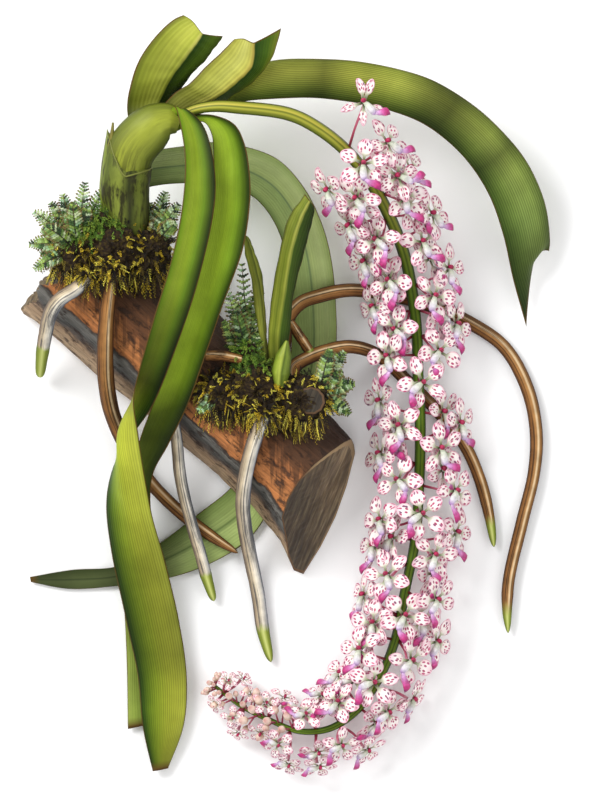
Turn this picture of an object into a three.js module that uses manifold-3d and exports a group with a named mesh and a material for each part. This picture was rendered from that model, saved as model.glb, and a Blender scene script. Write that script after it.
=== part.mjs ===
// A foxtail orchid on a split log, picked and laid flat with its moss, ferns and aerial roots.
// Millimetres, Z up. Z = 0 is the surface that the log rests on.
// The layout is drawn on a grid of half millimetre steps, x to the right and y down.

import * as THREE from 'three';
import { mergeVertices } from 'three/addons/utils/BufferGeometryUtils.js';
import Module from 'manifold-3d';

const wasm = await Module();
wasm.setup();

const GRID = 0.5;
const GRID_X0 = 162;
const GRID_Y0 = 352;
const CLEARANCE = 0.35;
const LEAF_THICKNESS = 1.2;
const ROOT_RADIUS = 3.3;
const LOG_HEIGHT = 47;
const LOG_ARCH = 6.5;
const BLOOM_RADIUS = 11.8;
const UPPER_REACH = 15.5;
const LOWER_REACH = 19.5;
const BLOOM_STEP = 25.5;
const PEDICEL_RADIUS = 0.75;
const FOOT_ANGLE = 78;
const FOOT_GAP = -0.1;
const DORSAL_LEAN = 0.35;
const SMALLEST_BLOOM = 0.4;
const FIRST_FLOWER = 112;
const SHRINK_FROM = 370;
const LAST_FLOWER = 473;
const MOST_FLOWER_NODES = 37;
const LOWEST = 0.5;

const plant = new THREE.Group();
plant.name = 'foxtail_orchid';

// Repeatable random numbers, so that each build is the same
let seed = 20417;
function random() {
  seed = (seed * 1664525 + 1013904223) % 4294967296;
  return seed / 4294967296;
}

// A point of the drawing grid at a height in millimetres
function at(x, y, z) {
  return new THREE.Vector3((x - GRID_X0) * GRID, (GRID_Y0 - y) * GRID, z);
}
function smoothLine(rows) {
  return new THREE.CatmullRomCurve3(rows.map((row) => at(row[0], row[1], row[2])), false, 'centripetal');
}
function between(list, t) {
  const place = Math.min(Math.max(t, 0), 1) * (list.length - 1);
  const low = Math.min(Math.floor(place), list.length - 2);
  return list[low] + (list[low + 1] - list[low]) * (place - low);
}

// Points and triangles into a closed body
function toSolid(points, triangles) {
  const positions = new Float32Array(points.length * 3);
  points.forEach((point, index) => positions.set([point.x, point.y, point.z], index * 3));
  const build = (list) => new wasm.Manifold(
    new wasm.Mesh({ numProp: 3, vertProperties: positions, triVerts: new Uint32Array(list.flat()) }),
  );
  const solid = build(triangles);
  if (solid.volume() > 0) {
    return solid;
  }
  return build(triangles.map((triangle) => [triangle[0], triangle[2], triangle[1]]));
}
function fromGeometry(geometry) {
  geometry.deleteAttribute('normal');
  geometry.deleteAttribute('uv');
  const merged = mergeVertices(geometry, 1e-4);
  const positions = merged.attributes.position;
  const points = [];
  for (let index = 0; index < positions.count; index += 1) {
    points.push(new THREE.Vector3().fromBufferAttribute(positions, index));
  }
  const triangles = [];
  for (let index = 0; index < merged.index.count; index += 3) {
    triangles.push([merged.index.getX(index), merged.index.getX(index + 1), merged.index.getX(index + 2)]);
  }
  return toSolid(points, triangles);
}
function largest(solid) {
  const pieces = solid.decompose();
  pieces.sort((one, other) => other.volume() - one.volume());
  return pieces[0];
}
function joined(solids) {
  return solids.reduce((sum, solid) => sum.add(solid));
}
function cutClear(solid, others) {
  return largest(others.reduce((rest, other) => rest.subtract(other), solid));
}
function place(name, colour, solid, roughness = 0.7) {
  const mesh = solid.getMesh();
  const geometry = new THREE.BufferGeometry();
  geometry.setAttribute('position', new THREE.BufferAttribute(new Float32Array(mesh.vertProperties), 3));
  geometry.setIndex(new THREE.BufferAttribute(new Uint32Array(mesh.triVerts), 1));
  const material = new THREE.MeshStandardMaterial({ color: colour, roughness, flatShading: true });
  const node = new THREE.Mesh(geometry, material);
  node.name = name;
  plant.add(node);
}

// Rings of equal length joined into a closed body, ends closed by a fan
function skin(rings) {
  const count = rings[0].length;
  const points = rings.flat();
  const triangles = [];
  for (let ring = 0; ring < rings.length - 1; ring += 1) {
    for (let step = 0; step < count; step += 1) {
      const a = ring * count + step;
      const b = ring * count + (step + 1) % count;
      triangles.push([a, b, b + count]);
      triangles.push([a, b + count, a + count]);
    }
  }
  const last = (rings.length - 1) * count;
  for (let step = 1; step < count - 1; step += 1) {
    triangles.push([0, step + 1, step]);
    triangles.push([last, last + step, last + step + 1]);
  }
  return toSolid(points, triangles);
}

// How far the two ends of a piece move out when it grows
function endShift(station, stations, grow) {
  if (station === 0) {
    return -grow;
  }
  return station === stations ? grow : 0;
}

// A round or oval stem along a line, radii listed from start to end
function stemSolid(rows, radii, options = {}) {
  const { sides = 7, stations = 14, grow = 0, flat = 1 } = options;
  const line = smoothLine(rows);
  const rings = [];
  for (let station = 0; station <= stations; station += 1) {
    const t = station / stations;
    const centre = line.getPoint(t);
    const along = line.getTangent(t);
    const across = new THREE.Vector3(0, 0, 1).cross(along).normalize();
    const up = new THREE.Vector3().crossVectors(along, across).normalize();
    const radius = between(radii, t) + grow;
    centre.addScaledVector(along, endShift(station, stations, grow));
    const ring = [];
    for (let side = 0; side < sides; side += 1) {
      const angle = (side / sides) * Math.PI * 2;
      const offset = across.clone().multiplyScalar(Math.cos(angle) * radius);
      offset.addScaledVector(up, Math.sin(angle) * (radius * flat + grow * (1 - flat)));
      ring.push(centre.clone().add(offset));
    }
    rings.push(ring);
  }
  return skin(rings);
}

// A strap leaf between a left edge, a keel and a right edge, the same triangles on both faces
function strapSolid(rails, options = {}) {
  const { stations = 22, grow = 0, thickness = LEAF_THICKNESS } = options;
  const lines = rails.map(smoothLine);
  const half = thickness / 2 + grow;
  const rings = [];
  for (let station = 0; station <= stations; station += 1) {
    const t = station / stations;
    const [left, middle, right] = lines.map((line) => line.getPoint(t));
    const along = lines[1].getTangent(t);
    const toMiddle = middle.clone().sub(left).normalize();
    const toRight = right.clone().sub(middle).normalize();
    const leftNormal = toMiddle.clone().cross(along).normalize();
    const rightNormal = toRight.clone().cross(along).normalize();
    const middleNormal = leftNormal.clone().add(rightNormal).normalize();
    left.addScaledVector(toMiddle, -grow);
    right.addScaledVector(toRight, grow);
    [left, middle, right].forEach((point) => point.addScaledVector(along, endShift(station, stations, grow)));
    rings.push([
      left.clone().addScaledVector(leftNormal, half),
      middle.clone().addScaledVector(middleNormal, half),
      right.clone().addScaledVector(rightNormal, half),
      right.clone().addScaledVector(rightNormal, -half),
      middle.clone().addScaledVector(middleNormal, -half),
      left.clone().addScaledVector(leftNormal, -half),
    ]);
  }
  const triangles = [];
  const quad = (a, b, c, d) => triangles.push([a, b, c], [a, c, d]);
  for (let station = 0; station < stations; station += 1) {
    const a = station * 6;
    const b = a + 6;
    quad(a, a + 1, b + 1, b);
    quad(a + 1, a + 2, b + 2, b + 1);
    quad(a + 2, a + 3, b + 3, b + 2);
    triangles.push([a + 3, a + 4, b + 4], [a + 3, b + 4, b + 3]);
    triangles.push([a + 4, a + 5, b + 5], [a + 4, b + 5, b + 4]);
    quad(a + 5, a, b, b + 5);
  }
  const end = stations * 6;
  triangles.push([5, 1, 0], [5, 4, 1], [4, 2, 1], [4, 3, 2]);
  triangles.push([end + 5, end, end + 1], [end + 5, end + 1, end + 4]);
  triangles.push([end + 4, end + 1, end + 2], [end + 4, end + 2, end + 3]);
  return toSolid(rings.flat(), triangles);
}

// The keel of a leaf, off the middle of its edges by a depth. A notched tip has its own end
function keelOf({ left, right, keel, keelEnd }) {
  return left.map((row, index) => {
    if (keelEnd && index === left.length - 1) {
      return keelEnd;
    }
    const other = right[index];
    const before = Math.max(index - 1, 0);
    const after = Math.min(index + 1, left.length - 1);
    const middle = (one) => at((left[one][0] + right[one][0]) / 2, (left[one][1] + right[one][1]) / 2,
      (left[one][2] + right[one][2]) / 2);
    const along = middle(after).sub(middle(before)).normalize();
    const across = at(...other).sub(at(...row)).normalize();
    const push = across.cross(along).normalize().multiplyScalar(keel[index]);
    const centre = middle(index).add(push);
    return [centre.x / GRID + GRID_X0, GRID_Y0 - centre.y / GRID, centre.z];
  });
}

// Log: a split billet lying on two flat feet, arched between them, its right end sawn aslant
const LOG_ALONG = new THREE.Vector2(0.731, 0.682);
const LOG_START_X = 35;
const LOG_START_Y = 327;
const LOG_ARCH_FROM = 225;
const LOG_ARCH_TO = 268;
const LOG_SLANT_FROM = 215;
const LOG_SLANT_RUN = 1.46;
const LOG_SLANT_TURN = 0.0026;
const LOG_SLANT_BOW = 0.00004;
const LOG_BARK_DEPTH = 1.4;
const LOG_BREAK_DEPTH = 7;
const LOG_SWELL = 0.06;
const LOG_END = 297;
function onLog(along, across, z) {
  const x = LOG_START_X + along * LOG_ALONG.x + across * LOG_ALONG.y;
  const y = LOG_START_Y + along * LOG_ALONG.y - across * LOG_ALONG.x;
  return at(x, y, z);
}
function logSolid(grow = 0) {
  const section = [[6, 0], [3, 7], [9, 17], [19, 26], [31, 37], [47, 43], [68, 47], [90, 46], [110, 41],
    [126, 32], [135, 19], [133, 7], [126, 0], [96, 0], [66, 0], [36, 0]];
  const edges = [[-20, 0], [0, 1], [30, 4], [80, 5], [130, 9], [175, 12], [222, 14], [230, 14],
    [246, 15], [256, 15], [264, 14], [271, 13], [284, 7], [297, -4]];
  const rings = [];
  edges.forEach(([along, inset], station) => {
    const share = station / (edges.length - 1);
    const arched = along > LOG_ARCH_FROM && along < LOG_ARCH_TO;
    const ring = section.map(([across, z], index) => {
      const under = z === 0;
      const bark = under || index < 1 ? 0 : Math.sin(index * 5.1 + station * 2.3) * LOG_BARK_DEPTH;
      const lowered = z * (1 - LOG_SWELL * (1 - Math.sin(share * Math.PI))) + bark / 2;
      const broken = station === 0 ? Math.sin(index * 2.9) * LOG_BREAK_DEPTH - 3 : 0;
      const slant = Math.max(0, (along - LOG_SLANT_FROM) / (LOG_END - LOG_SLANT_FROM)) ** 1.5;
      const run = LOG_SLANT_RUN - LOG_SLANT_TURN * across - LOG_SLANT_BOW * across ** 2;
      const sawn = slant * (LOG_HEIGHT - z) * run;
      const low = across < 40 ? inset * (1 - across / 60) : 0;
      const height = under ? (arched ? LOG_ARCH : 0) : lowered;
      const width = across + low + bark;
      const end = endShift(station, edges.length - 1, grow * 3);
      return onLog(along + broken + sawn + end, width, Math.max(height, 0));
    });
    rings.push(ring);
  });
  if (grow > 0) {
    rings.forEach((ring) => {
      const middle = ring.reduce((sum, point) => sum.add(point), new THREE.Vector3());
      middle.divideScalar(ring.length);
      ring.forEach((point) => point.add(point.clone().sub(middle).normalize().multiplyScalar(grow * 1.6)));
    });
  }
  const stub = stemSolid([[311, 397, 18], [311, 399, 40], [311, 401, 55]], [7.4, 7, 6.8],
    { sides: 10, stations: 2, grow });
  return skin(rings).add(stub);
}

// Roots: centre lines with the radius along them
const rootRows = {
  grey_root_left: [[92, 276, 54], [76, 290, 55], [62, 299, 52], [52, 312, 44], [47, 330, 33],
    [43, 352, 20], [40, 377, 8]],
  brown_root_left: [[113, 272, 56], [108, 313, 52], [106, 348, 46], [107, 385, 32], [114, 418, 18],
    [130, 453, 10], [150, 482, 8], [180, 512, 7.8], [210, 535, 7.8], [238, 553, 7.6]],
  grey_root_middle: [[174, 422, 34.4], [177, 441, 26], [181, 480, 17], [192, 525, 15.6], [200, 552, 12],
    [206, 575, 8], [214, 601, 4]],
  grey_root_right: [[264, 416, 56], [254, 442, 53], [246, 474, 44], [243, 500, 33], [245, 528, 20],
    [251, 560, 9], [258, 595, 4.6], [263, 630, 4], [271, 662, 3.8]],
  long_root_upper: [[286, 392, 45], [284, 364, 34], [285, 338, 27], [289, 317, 24], [301, 303, 24],
    [320, 296, 23], [343, 291, 17], [365, 291, 8], [395, 296, 3.9], [440, 309, 3.8], [470, 323, 3.8],
    [504, 347, 3.8], [527, 388, 3.8], [536, 432, 3.8], [534, 472, 3.8], [522, 522, 3.8],
      [509, 578, 3.8], [507, 606, 3.8], [508, 633, 3.6]],
  long_root_lower: [[296, 392, 44], [294, 368, 36], [310, 357, 31], [330, 350, 28], [352, 347, 20],
    [378, 355, 9.5], [408, 382, 4], [440, 414, 3.8], [465, 446, 3.8], [480, 480, 3.8], [489, 515, 3.8],
    [494, 547, 3.6]],
  twig_left: [[206, 356, 48.5], [222, 356, 49], [243, 360, 49]],
};
const rootRadii = {
  grey_root_left: [1, 1.1, 1.1, 1.1, 1.05, 1, 0.5],
  brown_root_left: [1, 1.15, 1.25, 1.25, 1.2, 1.1, 1, 0.95, 0.9, 0.45],
  grey_root_middle: [0.9, 0.9, 0.9, 0.9, 0.9, 0.9, 0.35],
  grey_root_right: [1, 1.12, 1.12, 1.12, 1.1, 1.05, 1.02, 0.98, 0.35],
  long_root_upper: [1, 1, 1.05, 1.05, 1.05, 1, 1, 1, 1, 1, 0.95, 0.92, 0.9, 0.3],
  long_root_lower: [1.05, 1.05, 1.05, 1, 0.98, 0.95, 0.92, 0.9, 0.3],
  twig_left: [0.85, 0.85, 0.7],
};
function rootSolid(name, grow = 0) {
  const rows = rootRows[name];
  const radii = rootRadii[name].map((share) => share * ROOT_RADIUS);
  const root = stemSolid(rows, radii, { sides: 6, stations: Math.ceil(rows.length * 1.5), grow });
  if (name !== 'long_root_lower') {
    return root;
  }
  const stub = stemSolid([[290, 322, 36], [298, 334, 35], [310, 352, 31]], [2.2, 2.6, 2.6],
    { sides: 6, stations: 2, grow });
  return root.add(stub);
}

// Main stem: the folded leaf base that arches over, in its old sheath with a dry point
function mainStem(grow = 0) {
  const arch = stemSolid([[127, 246, 40], [127, 215, 46], [127, 190, 50], [127, 170, 53],
    [133, 150, 56], [148, 133, 59], [159, 125, 60], [170, 122, 60], [179, 124, 59]],
  [9.5, 11, 11.6, 11.9, 12.3, 12, 11.3, 10.2, 8.2], { sides: 10, stations: 11, flat: 0.62, grow });
  const sheath = stemSolid([[126, 232, 43], [126, 210, 47], [125, 190, 50], [126, 172, 53],
    [127, 160, 54]],
    [11.5, 11.9, 12.2, 11.6, 9.4], { sides: 10, stations: 4, flat: 0.72, grow });
  const point = stemSolid([[110, 160, 55], [112, 145, 57], [114, 124, 58]], [2.4, 1.6, 0.5],
    { sides: 5, stations: 3, grow });
  return joined([arch, sheath, point]);
}

// Leaves by their two edges, each row x, y and height
const front = {
  left: [[171, 113, 61], [176, 108, 67], [181, 124, 71], [185, 150, 76], [185, 185, 79], [181, 220, 80],
    [170, 270, 78], [155, 320, 72], [141, 368, 63], [134, 402, 57], [139, 436, 50], [146, 480, 38],
    [153, 517, 28], [165, 560, 19], [179, 620, 12], [187, 678, 9], [184, 725, 7], [168, 768, 4]],
  right: [[176, 122, 60], [186, 111, 67], [202, 124, 69], [212, 150, 73], [216, 185, 76],
    [213, 220, 77], [197, 288, 74], [180, 340, 67], [165, 380, 58], [152, 408, 48], [134, 434, 36],
    [114, 468, 28], [107, 500, 22], [111, 550, 14], [125, 615, 10], [138, 675, 8], [143, 725, 6],
    [153, 771, 4]],
  keel: [0.5, 1, 2, 3, 3, 3, 3, 3, 4, 7, 9, 7, 4, 3, 3, 3, 2.5, 1.5],
};
const beside = {
  left: [[176, 133, 57], [203, 123, 61], [212, 135, 64], [214, 160, 66], [213, 190, 68], [208, 230, 67],
    [193, 290, 64], [178, 340, 58], [163, 380, 47], [150, 412, 38], [140, 440, 28], [131, 480, 18],
    [125, 520, 12], [122, 570, 7.5], [125, 620, 5], [127, 670, 4], [128, 729, 3]],
  right: [[176, 117, 57], [216, 117, 64], [235, 126, 68], [245, 145, 71], [249, 172, 74],
    [250, 202, 75], [243, 250, 74], [226, 300, 69], [208, 350, 61], [190, 400, 51], [168, 444, 36],
    [152, 478, 22], [152, 522, 13], [162, 575, 8], [168, 630, 5.5], [170, 685, 4.5], [160, 722, 4]],
  keel: [0.5, 1, 2.5, 3.5, 4, 4, 4, 4, 4, 4, 4, 3, 2, 1.5, 1.2, 1, 0.8],
};
const longRight = {
  left: [[168, 108, 55], [197, 92, 44], [232, 74, 45], [271, 62, 46], [312, 60, 46], [354, 63, 46],
    [399, 71, 44], [438, 84, 41], [474, 107, 37], [505, 136, 32], [529, 168, 26], [544, 202, 19],
    [550, 236, 12], [549, 251, 7]],
  right: [[170, 124, 55], [205, 114, 45], [238, 104, 46], [272, 100, 48], [312, 99, 49], [349, 103, 49],
    [386, 111, 48], [419, 123, 45], [446, 141, 41], [470, 166, 36], [489, 197, 29], [503, 236, 21],
    [513, 280, 12], [526, 327, 5]],
  keel: [0.5, 1, 2, 3, 3, 3, 3, 3, 3, 3, 3, 2.5, 2, 1],
  keelEnd: [533, 264, 7],
};
const behind = {
  left: [[148, 152, 30], [170, 149, 31], [184, 147, 31], [215, 143, 31], [245, 147, 31], [278, 160, 30],
    [304, 188, 28], [322, 225, 22], [332, 265, 16], [336, 310, 11], [336, 350, 7], [328, 395, 4],
    [308, 440, 3.2], [280, 490, 3.2], [250, 538, 3], [205, 566, 2.8], [160, 580, 2.6], [118, 586, 2.6],
    [70, 589, 2.4], [31, 582, 2]],
  right: [[136, 190, 28], [158, 186, 29], [184, 184, 29], [215, 184, 29], [250, 195, 29],
    [268, 212, 27], [280, 235, 25], [286, 262, 18], [289, 288, 13.5], [291, 318, 9.5], [291, 350, 6.5],
    [284, 385, 3.8], [268, 420, 3.2], [248, 458, 3.2], [232, 486, 3], [198, 514, 2.8], [158, 544, 2.6],
    [118, 566, 2.6], [72, 570, 2.4], [30, 577, 2]],
  keel: [2, 3, 3, 3, 3, 3, 3, 3, 2.5, 2, 1.5, 0.8, 0.4, 0.4, 0.4, 0.6, 0.8, 0.8, 0.6, 0.2],
};
const shortUp = [
  [[136, 142, 54], [128, 112, 50], [131, 88, 56], [140, 62, 62], [157, 38, 67], [176, 21, 70],
    [189, 16, 71]],
  [[150, 130, 55], [161, 100, 52], [173, 77, 59], [183, 64, 64], [192, 52, 69], [198, 44, 71],
    [203, 36, 72]],
  [[160, 128, 53], [173, 101, 47], [185, 85, 51], [197, 71, 57], [208, 59, 61], [216, 49, 63],
    [223, 38, 65]],
];
const shortRight = [
  [[156, 116, 57], [174, 96, 56], [190, 85, 59], [207, 68, 62], [225, 51, 65], [239, 37, 67]],
  [[170, 124, 57], [202, 106, 54], [222, 95, 57], [238, 82, 59], [251, 68, 62], [254, 45, 65]],
  [[176, 128, 55], [210, 108, 49], [230, 99, 49], [250, 85, 51], [270, 64, 54], [281, 30, 58]],
];
const youngBroad = [
  [[271, 368, 44], [268, 340, 47], [272, 300, 50], [280, 250, 52], [291, 215, 54], [305, 195, 55]],
  [[280, 368, 48], [279, 340, 51], [284, 300, 54], [292, 250, 57], [302, 218, 58], [310, 202, 58]],
  [[289, 368, 44], [289, 340, 46], [292, 308, 47], [301, 262, 49], [310, 232, 51], [314, 208, 53]],
];
const youngNarrow = [
  [[263, 362, 42], [258, 330, 44], [253, 290, 46], [246, 254, 48], [243, 237, 49]],
  [[267, 360, 45], [263, 330, 47], [259, 290, 49], [250, 252, 51], [245, 236, 51]],
  [[270, 360, 41], [266, 330, 43], [264, 290, 45], [257, 258, 47], [248, 238, 48]],
];
const leafRails = {
  front_leaf_turned: [front.left, keelOf(front), front.right],
  front_leaf_beside: [beside.left, keelOf(beside), beside.right],
  long_leaf_right: [longRight.left, keelOf(longRight), longRight.right],
  leaf_behind: [behind.left, keelOf(behind), behind.right],
  short_leaf_up: shortUp,
  short_leaf_right: shortRight,
  young_leaf_broad: youngBroad,
  young_leaf_narrow: youngNarrow,
};
const leafStations = {
  front_leaf_turned: 25, front_leaf_beside: 21, long_leaf_right: 16, leaf_behind: 20, short_leaf_up: 7,
  short_leaf_right: 6, young_leaf_broad: 7, young_leaf_narrow: 5,
};
function leafSolid(name, grow = 0) {
  return strapSolid(leafRails[name], { stations: leafStations[name], grow });
}
function youngBud(grow = 0) {
  return stemSolid([[280, 386, 50], [281, 372, 52], [284, 356, 54], [287, 341, 55]], [3, 4.6, 4, 0.8],
    { sides: 7, stations: 5, grow });
}

// Flower stalk: from the leaf bases over and down to the curled tip
const stalkRows = [[178, 120, 60], [192, 112, 61], [214, 108, 63], [238, 109, 64], [290, 116, 62],
  [320, 131, 58], [350, 156, 50], [375, 190, 40], [395, 230, 30], [406, 262, 22], [413, 300, 17.8],
  [417, 340, 15.8], [418, 380, 15.4], [420, 420, 15.4], [419, 480, 15.2], [415, 540, 14.8],
  [405, 590, 14.4], [395, 640, 14], [378, 680, 13.5], [357, 710, 12.5], [330, 728, 11.5],
  [300, 731, 10], [270, 720, 9], [240, 705, 8], [215, 686, 7.5]];
const stalkRadii = [2.2, 2.4, 2.8, 3.2, 3.3, 3.2, 3.1, 3, 2.9, 2.8, 2.8, 2.7, 2.7, 2.7, 2.6, 2.5, 2.4, 2.3,
  2.1, 1.9, 1.7, 1.5, 1.3, 1.1, 0.9];
function stalkSolid(grow = 0) {
  return stemSolid(stalkRows, stalkRadii, { sides: 6, stations: 30, grow });
}

// Order of cutting: each piece gives way to the ones before it
const logRaw = logSolid();
const rootNames = Object.keys(rootRows);
const leafOrder = ['front_leaf_turned', 'front_leaf_beside', 'short_leaf_right', 'short_leaf_up',
  'long_leaf_right', 'leaf_behind', 'young_leaf_broad', 'young_leaf_narrow'];
const stem = mainStem();
const stemClear = mainStem(CLEARANCE);
const stalkClear = stalkSolid(CLEARANCE);
const rootsClear = rootNames.map((name) => rootSolid(name, CLEARANCE));
const budClear = youngBud(CLEARANCE);
const taken = [stemClear];
const leaves = {};
leafOrder.forEach((name) => {
  leaves[name] = cutClear(leafSolid(name), name.startsWith('young') ? [...taken, budClear] : taken);
  taken.push(leafSolid(name, CLEARANCE));
});
const stalkBody = cutClear(stalkSolid(), taken);
const log = cutClear(logRaw, [...rootsClear, ...taken]);
const roots = {};
rootNames.forEach((name, index) => {
  roots[name] = cutClear(rootSolid(name), rootsClear.slice(0, index));
});

// Ferns: fronds with toothed sides that spring from one point inside the moss
const FROND_WIDTH = 4.8;
const FROND_TEETH = 3;
const FROND_SPINE = 0.22;
const FROND_ROOT = 0.12;
const FROND_STEP = 1.5;
const FROND_DROOP = 0.12;
function frondSolid(base, tip, lift) {
  const half = 0.4;
  const bow = base.clone().lerp(tip, 0.5).add(new THREE.Vector3(0, 0, lift));
  const line = new THREE.QuadraticBezierCurve3(base, bow, tip);
  const up = new THREE.Vector3(0, 0, half);
  const down = new THREE.Vector3(0, 0, -FROND_DROOP);
  const outline = (t, share) => {
    const across = new THREE.Vector3(0, 0, 1).cross(line.getTangent(t)).normalize();
    const reach = FROND_WIDTH * Math.sin(Math.PI * (0.15 + t * 0.78)) * share;
    return line.getPoint(t).addScaledVector(across, reach).add(down.clone().multiplyScalar(Math.abs(reach)));
  };
  const points = [];
  const add = (point) => {
    points.push(point.clone().add(up), point.clone().sub(up));
    return points.length - 2;
  };
  const triangles = [];
  const face = (a, b, c) => triangles.push([a, b, c], [a + 1, c + 1, b + 1]);
  const wall = (a, b) => triangles.push([a, a + 1, b + 1], [a, b + 1, b]);
  let right = add(outline(0, -FROND_SPINE));
  let left = add(outline(0, FROND_SPINE));
  wall(left, right);
  for (let index = 0; index < FROND_TEETH; index += 1) {
    const after = (index + 1) / FROND_TEETH;
    const rightTooth = add(outline(after - 0.06, -1));
    const leftTooth = add(outline(after - 0.06, 1));
    const nextRight = add(outline(after, -FROND_SPINE));
    const nextLeft = add(outline(after, FROND_SPINE));
    face(right, nextRight, nextLeft);
    face(right, nextLeft, left);
    face(right, rightTooth, nextRight);
    face(left, nextLeft, leftTooth);
    wall(right, rightTooth);
    wall(rightTooth, nextRight);
    wall(nextLeft, leftTooth);
    wall(leftTooth, left);
    right = nextRight;
    left = nextLeft;
  }
  wall(right, left);
  return toSolid(points, triangles);
}
const fernRows = {
  upper_left: { stock: [78, 252, 49],
    tips: [[36, 213, 58], [31, 245, 52], [36, 270, 54], [64, 196, 56], [86, 184, 52], [46, 228, 64],
      [104, 190, 49], [74, 206, 64], [52, 204, 49]] },
  upper_right: { stock: [152, 252, 46], tips: [[166, 193, 40], [179, 205, 42], [150, 204, 37],
    [176, 224, 50]] },
  behind: { stock: [250, 372, 42], tips: [[242, 264, 36], [227, 290, 40], [259, 280, 32],
    [236, 312, 48]] },
  lower_left: { stock: [226, 394, 48], tips: [[198, 384, 54], [199, 412, 52], [210, 372, 55]] },
  lower_right: { stock: [318, 398, 44], tips: [[344, 352, 36], [354, 384, 38], [349, 414, 40],
    [330, 350, 44]] },
};
function fernSolids(name) {
  const { stock, tips } = fernRows[name];
  return tips.map((tip, index) => {
    const end = at(...tip);
    const stepUp = new THREE.Vector3(0, 0, (index - tips.length / 2) * FROND_STEP);
    return frondSolid(at(...stock).lerp(end, FROND_ROOT).add(stepUp), end, 2 + (index % 3) * 2);
  });
}
const around = [logSolid(CLEARANCE), stemClear, budClear, stalkClear, ...rootsClear, ...taken];

// Moss: a lumpy cushion with strands sunk into it, draped over the log
const STRAND_ROOT = 0.8;
const STRAND_LENGTH = 2.5;
const STRAND_SPREAD = 3;
const STRAND_WIDTH = 1.5;
const THIRD_TURN = (Math.PI * 2) / 3;
function mossSolid(lumps, strands, hang) {
  const bodies = lumps.map(([x, y, z, rx, ry, rz]) => {
    const centre = at(x, y, z);
    const ball = new THREE.IcosahedronGeometry(1, 1).scale(rx, ry, rz);
    ball.translate(centre.x, centre.y, centre.z);
    return fromGeometry(ball).warp((point) => {
      const rough = 0.9 + 0.16 * Math.sin(point[0] * 1.7 + point[1] * 2.3) * Math.cos(point[2] * 1.9);
      point[0] = centre.x + (point[0] - centre.x) * rough;
      point[1] = centre.y + (point[1] - centre.y) * rough;
      point[2] = centre.z + (point[2] - centre.z) * rough;
    });
  });
  for (let index = 0; index < strands; index += 1) {
    const [x, y, z, rx, ry, rz] = lumps[index % lumps.length];
    const centre = at(x, y, z);
    const turn = random() * Math.PI * 2;
    const rise = Math.asin(0.05 + random() * 0.9);
    const out = new THREE.Vector3(Math.cos(turn) * Math.cos(rise), Math.sin(turn) * Math.cos(rise),
      Math.sin(rise));
    const reach = new THREE.Vector3(out.x * rx, out.y * ry, out.z * rz);
    const foot = centre.clone().addScaledVector(reach, STRAND_ROOT);
    const tip = centre.clone().addScaledVector(reach, 1.02);
    tip.addScaledVector(out, STRAND_LENGTH + random() * STRAND_SPREAD);
    tip.y -= hang * random();
    tip.z = Math.max(tip.z, 2);
    const along = tip.clone().sub(foot).normalize();
    const side = along.clone().cross(new THREE.Vector3(0.3, 0.2, 1)).normalize();
    const other = along.clone().cross(side).normalize();
    const width = STRAND_WIDTH + random() * 0.8;
    const ring = [0, 1, 2].map((step) => foot.clone()
      .addScaledVector(side, Math.cos(step * THIRD_TURN) * width)
      .addScaledVector(other, Math.sin(step * THIRD_TURN) * width));
    bodies.push(toSolid([...ring, tip], [[0, 1, 2], [0, 3, 1], [1, 3, 2], [2, 3, 0]]));
  }
  return joined(bodies);
}
const upperMoss = mossSolid([[78, 254, 47, 15, 15, 11], [114, 252, 48, 18, 17, 12],
  [150, 255, 46, 13, 15, 11]],
  24, 8);
const lowerMoss = mossSolid([[222, 394, 46, 14, 12, 9], [256, 392, 46, 18, 17, 11],
  [300, 400, 45, 17, 15, 11]],
  24, 8);

// One flower in one skin: five clawed petals, the lip as a sixth lobe bent forward, the column in the middle
// and the spur behind
const PETAL = [[6, 3.3, 0.7], [BLOOM_RADIUS, 2.2, 1.5], [BLOOM_RADIUS, -2.2, 1.5], [6, -3.3, 0.7]];
const LIP = [[4.4, 1.8, 2.6], [10, 1.3, 4], [10, -1.3, 4], [4.4, -1.8, 2.6]];
const LOBES = [[90, PETAL], [22, PETAL], [-48, PETAL], [-90, LIP], [-132, PETAL], [-202, PETAL]];
const WAIST = 2.3;
const PETAL_THICKNESS = 0.9;
const COLUMN_TIP = [0, 0.6, 2.6];
const SPUR_TIP = [0, -4.2, -7.5];
function bloomShape() {
  const outline = [];
  LOBES.forEach(([angle, lobe], index) => {
    const turn = THREE.MathUtils.degToRad(angle);
    lobe.forEach(([x, y, z]) => outline.push([x * Math.cos(turn) - y * Math.sin(turn),
      x * Math.sin(turn) + y * Math.cos(turn), z]));
    const after = LOBES[(index + 1) % LOBES.length][0];
    const waist = THREE.MathUtils.degToRad((angle + after + (after > angle ? -360 : 0)) / 2);
    outline.push([WAIST * Math.cos(waist), WAIST * Math.sin(waist), 0]);
  });
  const points = [new THREE.Vector3(...COLUMN_TIP), new THREE.Vector3(...SPUR_TIP)];
  outline.forEach(([x, y, z]) => {
    points.push(new THREE.Vector3(x, y, z + PETAL_THICKNESS / 2));
    points.push(new THREE.Vector3(x, y, z - PETAL_THICKNESS / 2));
  });
  const triangles = [];
  const top = (corner) => 2 + ((corner + outline.length) % outline.length) * 2;
  for (let lobe = 0; lobe < LOBES.length; lobe += 1) {
    const first = lobe * 5;
    const [waist, one, tip, end, two, next] = [-1, 0, 1, 2, 3, 4].map((step) => top(first + step));
    const faces = [[waist, one, two], [waist, two, next], [one, tip, end], [one, end, two],
      [0, waist, next]];
    faces.forEach((face) => {
      const under = face.map((corner) => corner + 1);
      triangles.push(face, [under[0], under[2], under[1]]);
    });
    [[waist, one], [one, tip], [tip, end], [end, two], [two, next]].forEach(([from, to]) => {
      triangles.push([from, from + 1, to + 1], [from, to + 1, to]);
    });
  }
  return { points, triangles };
}
const BLOOM = bloomShape();
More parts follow.
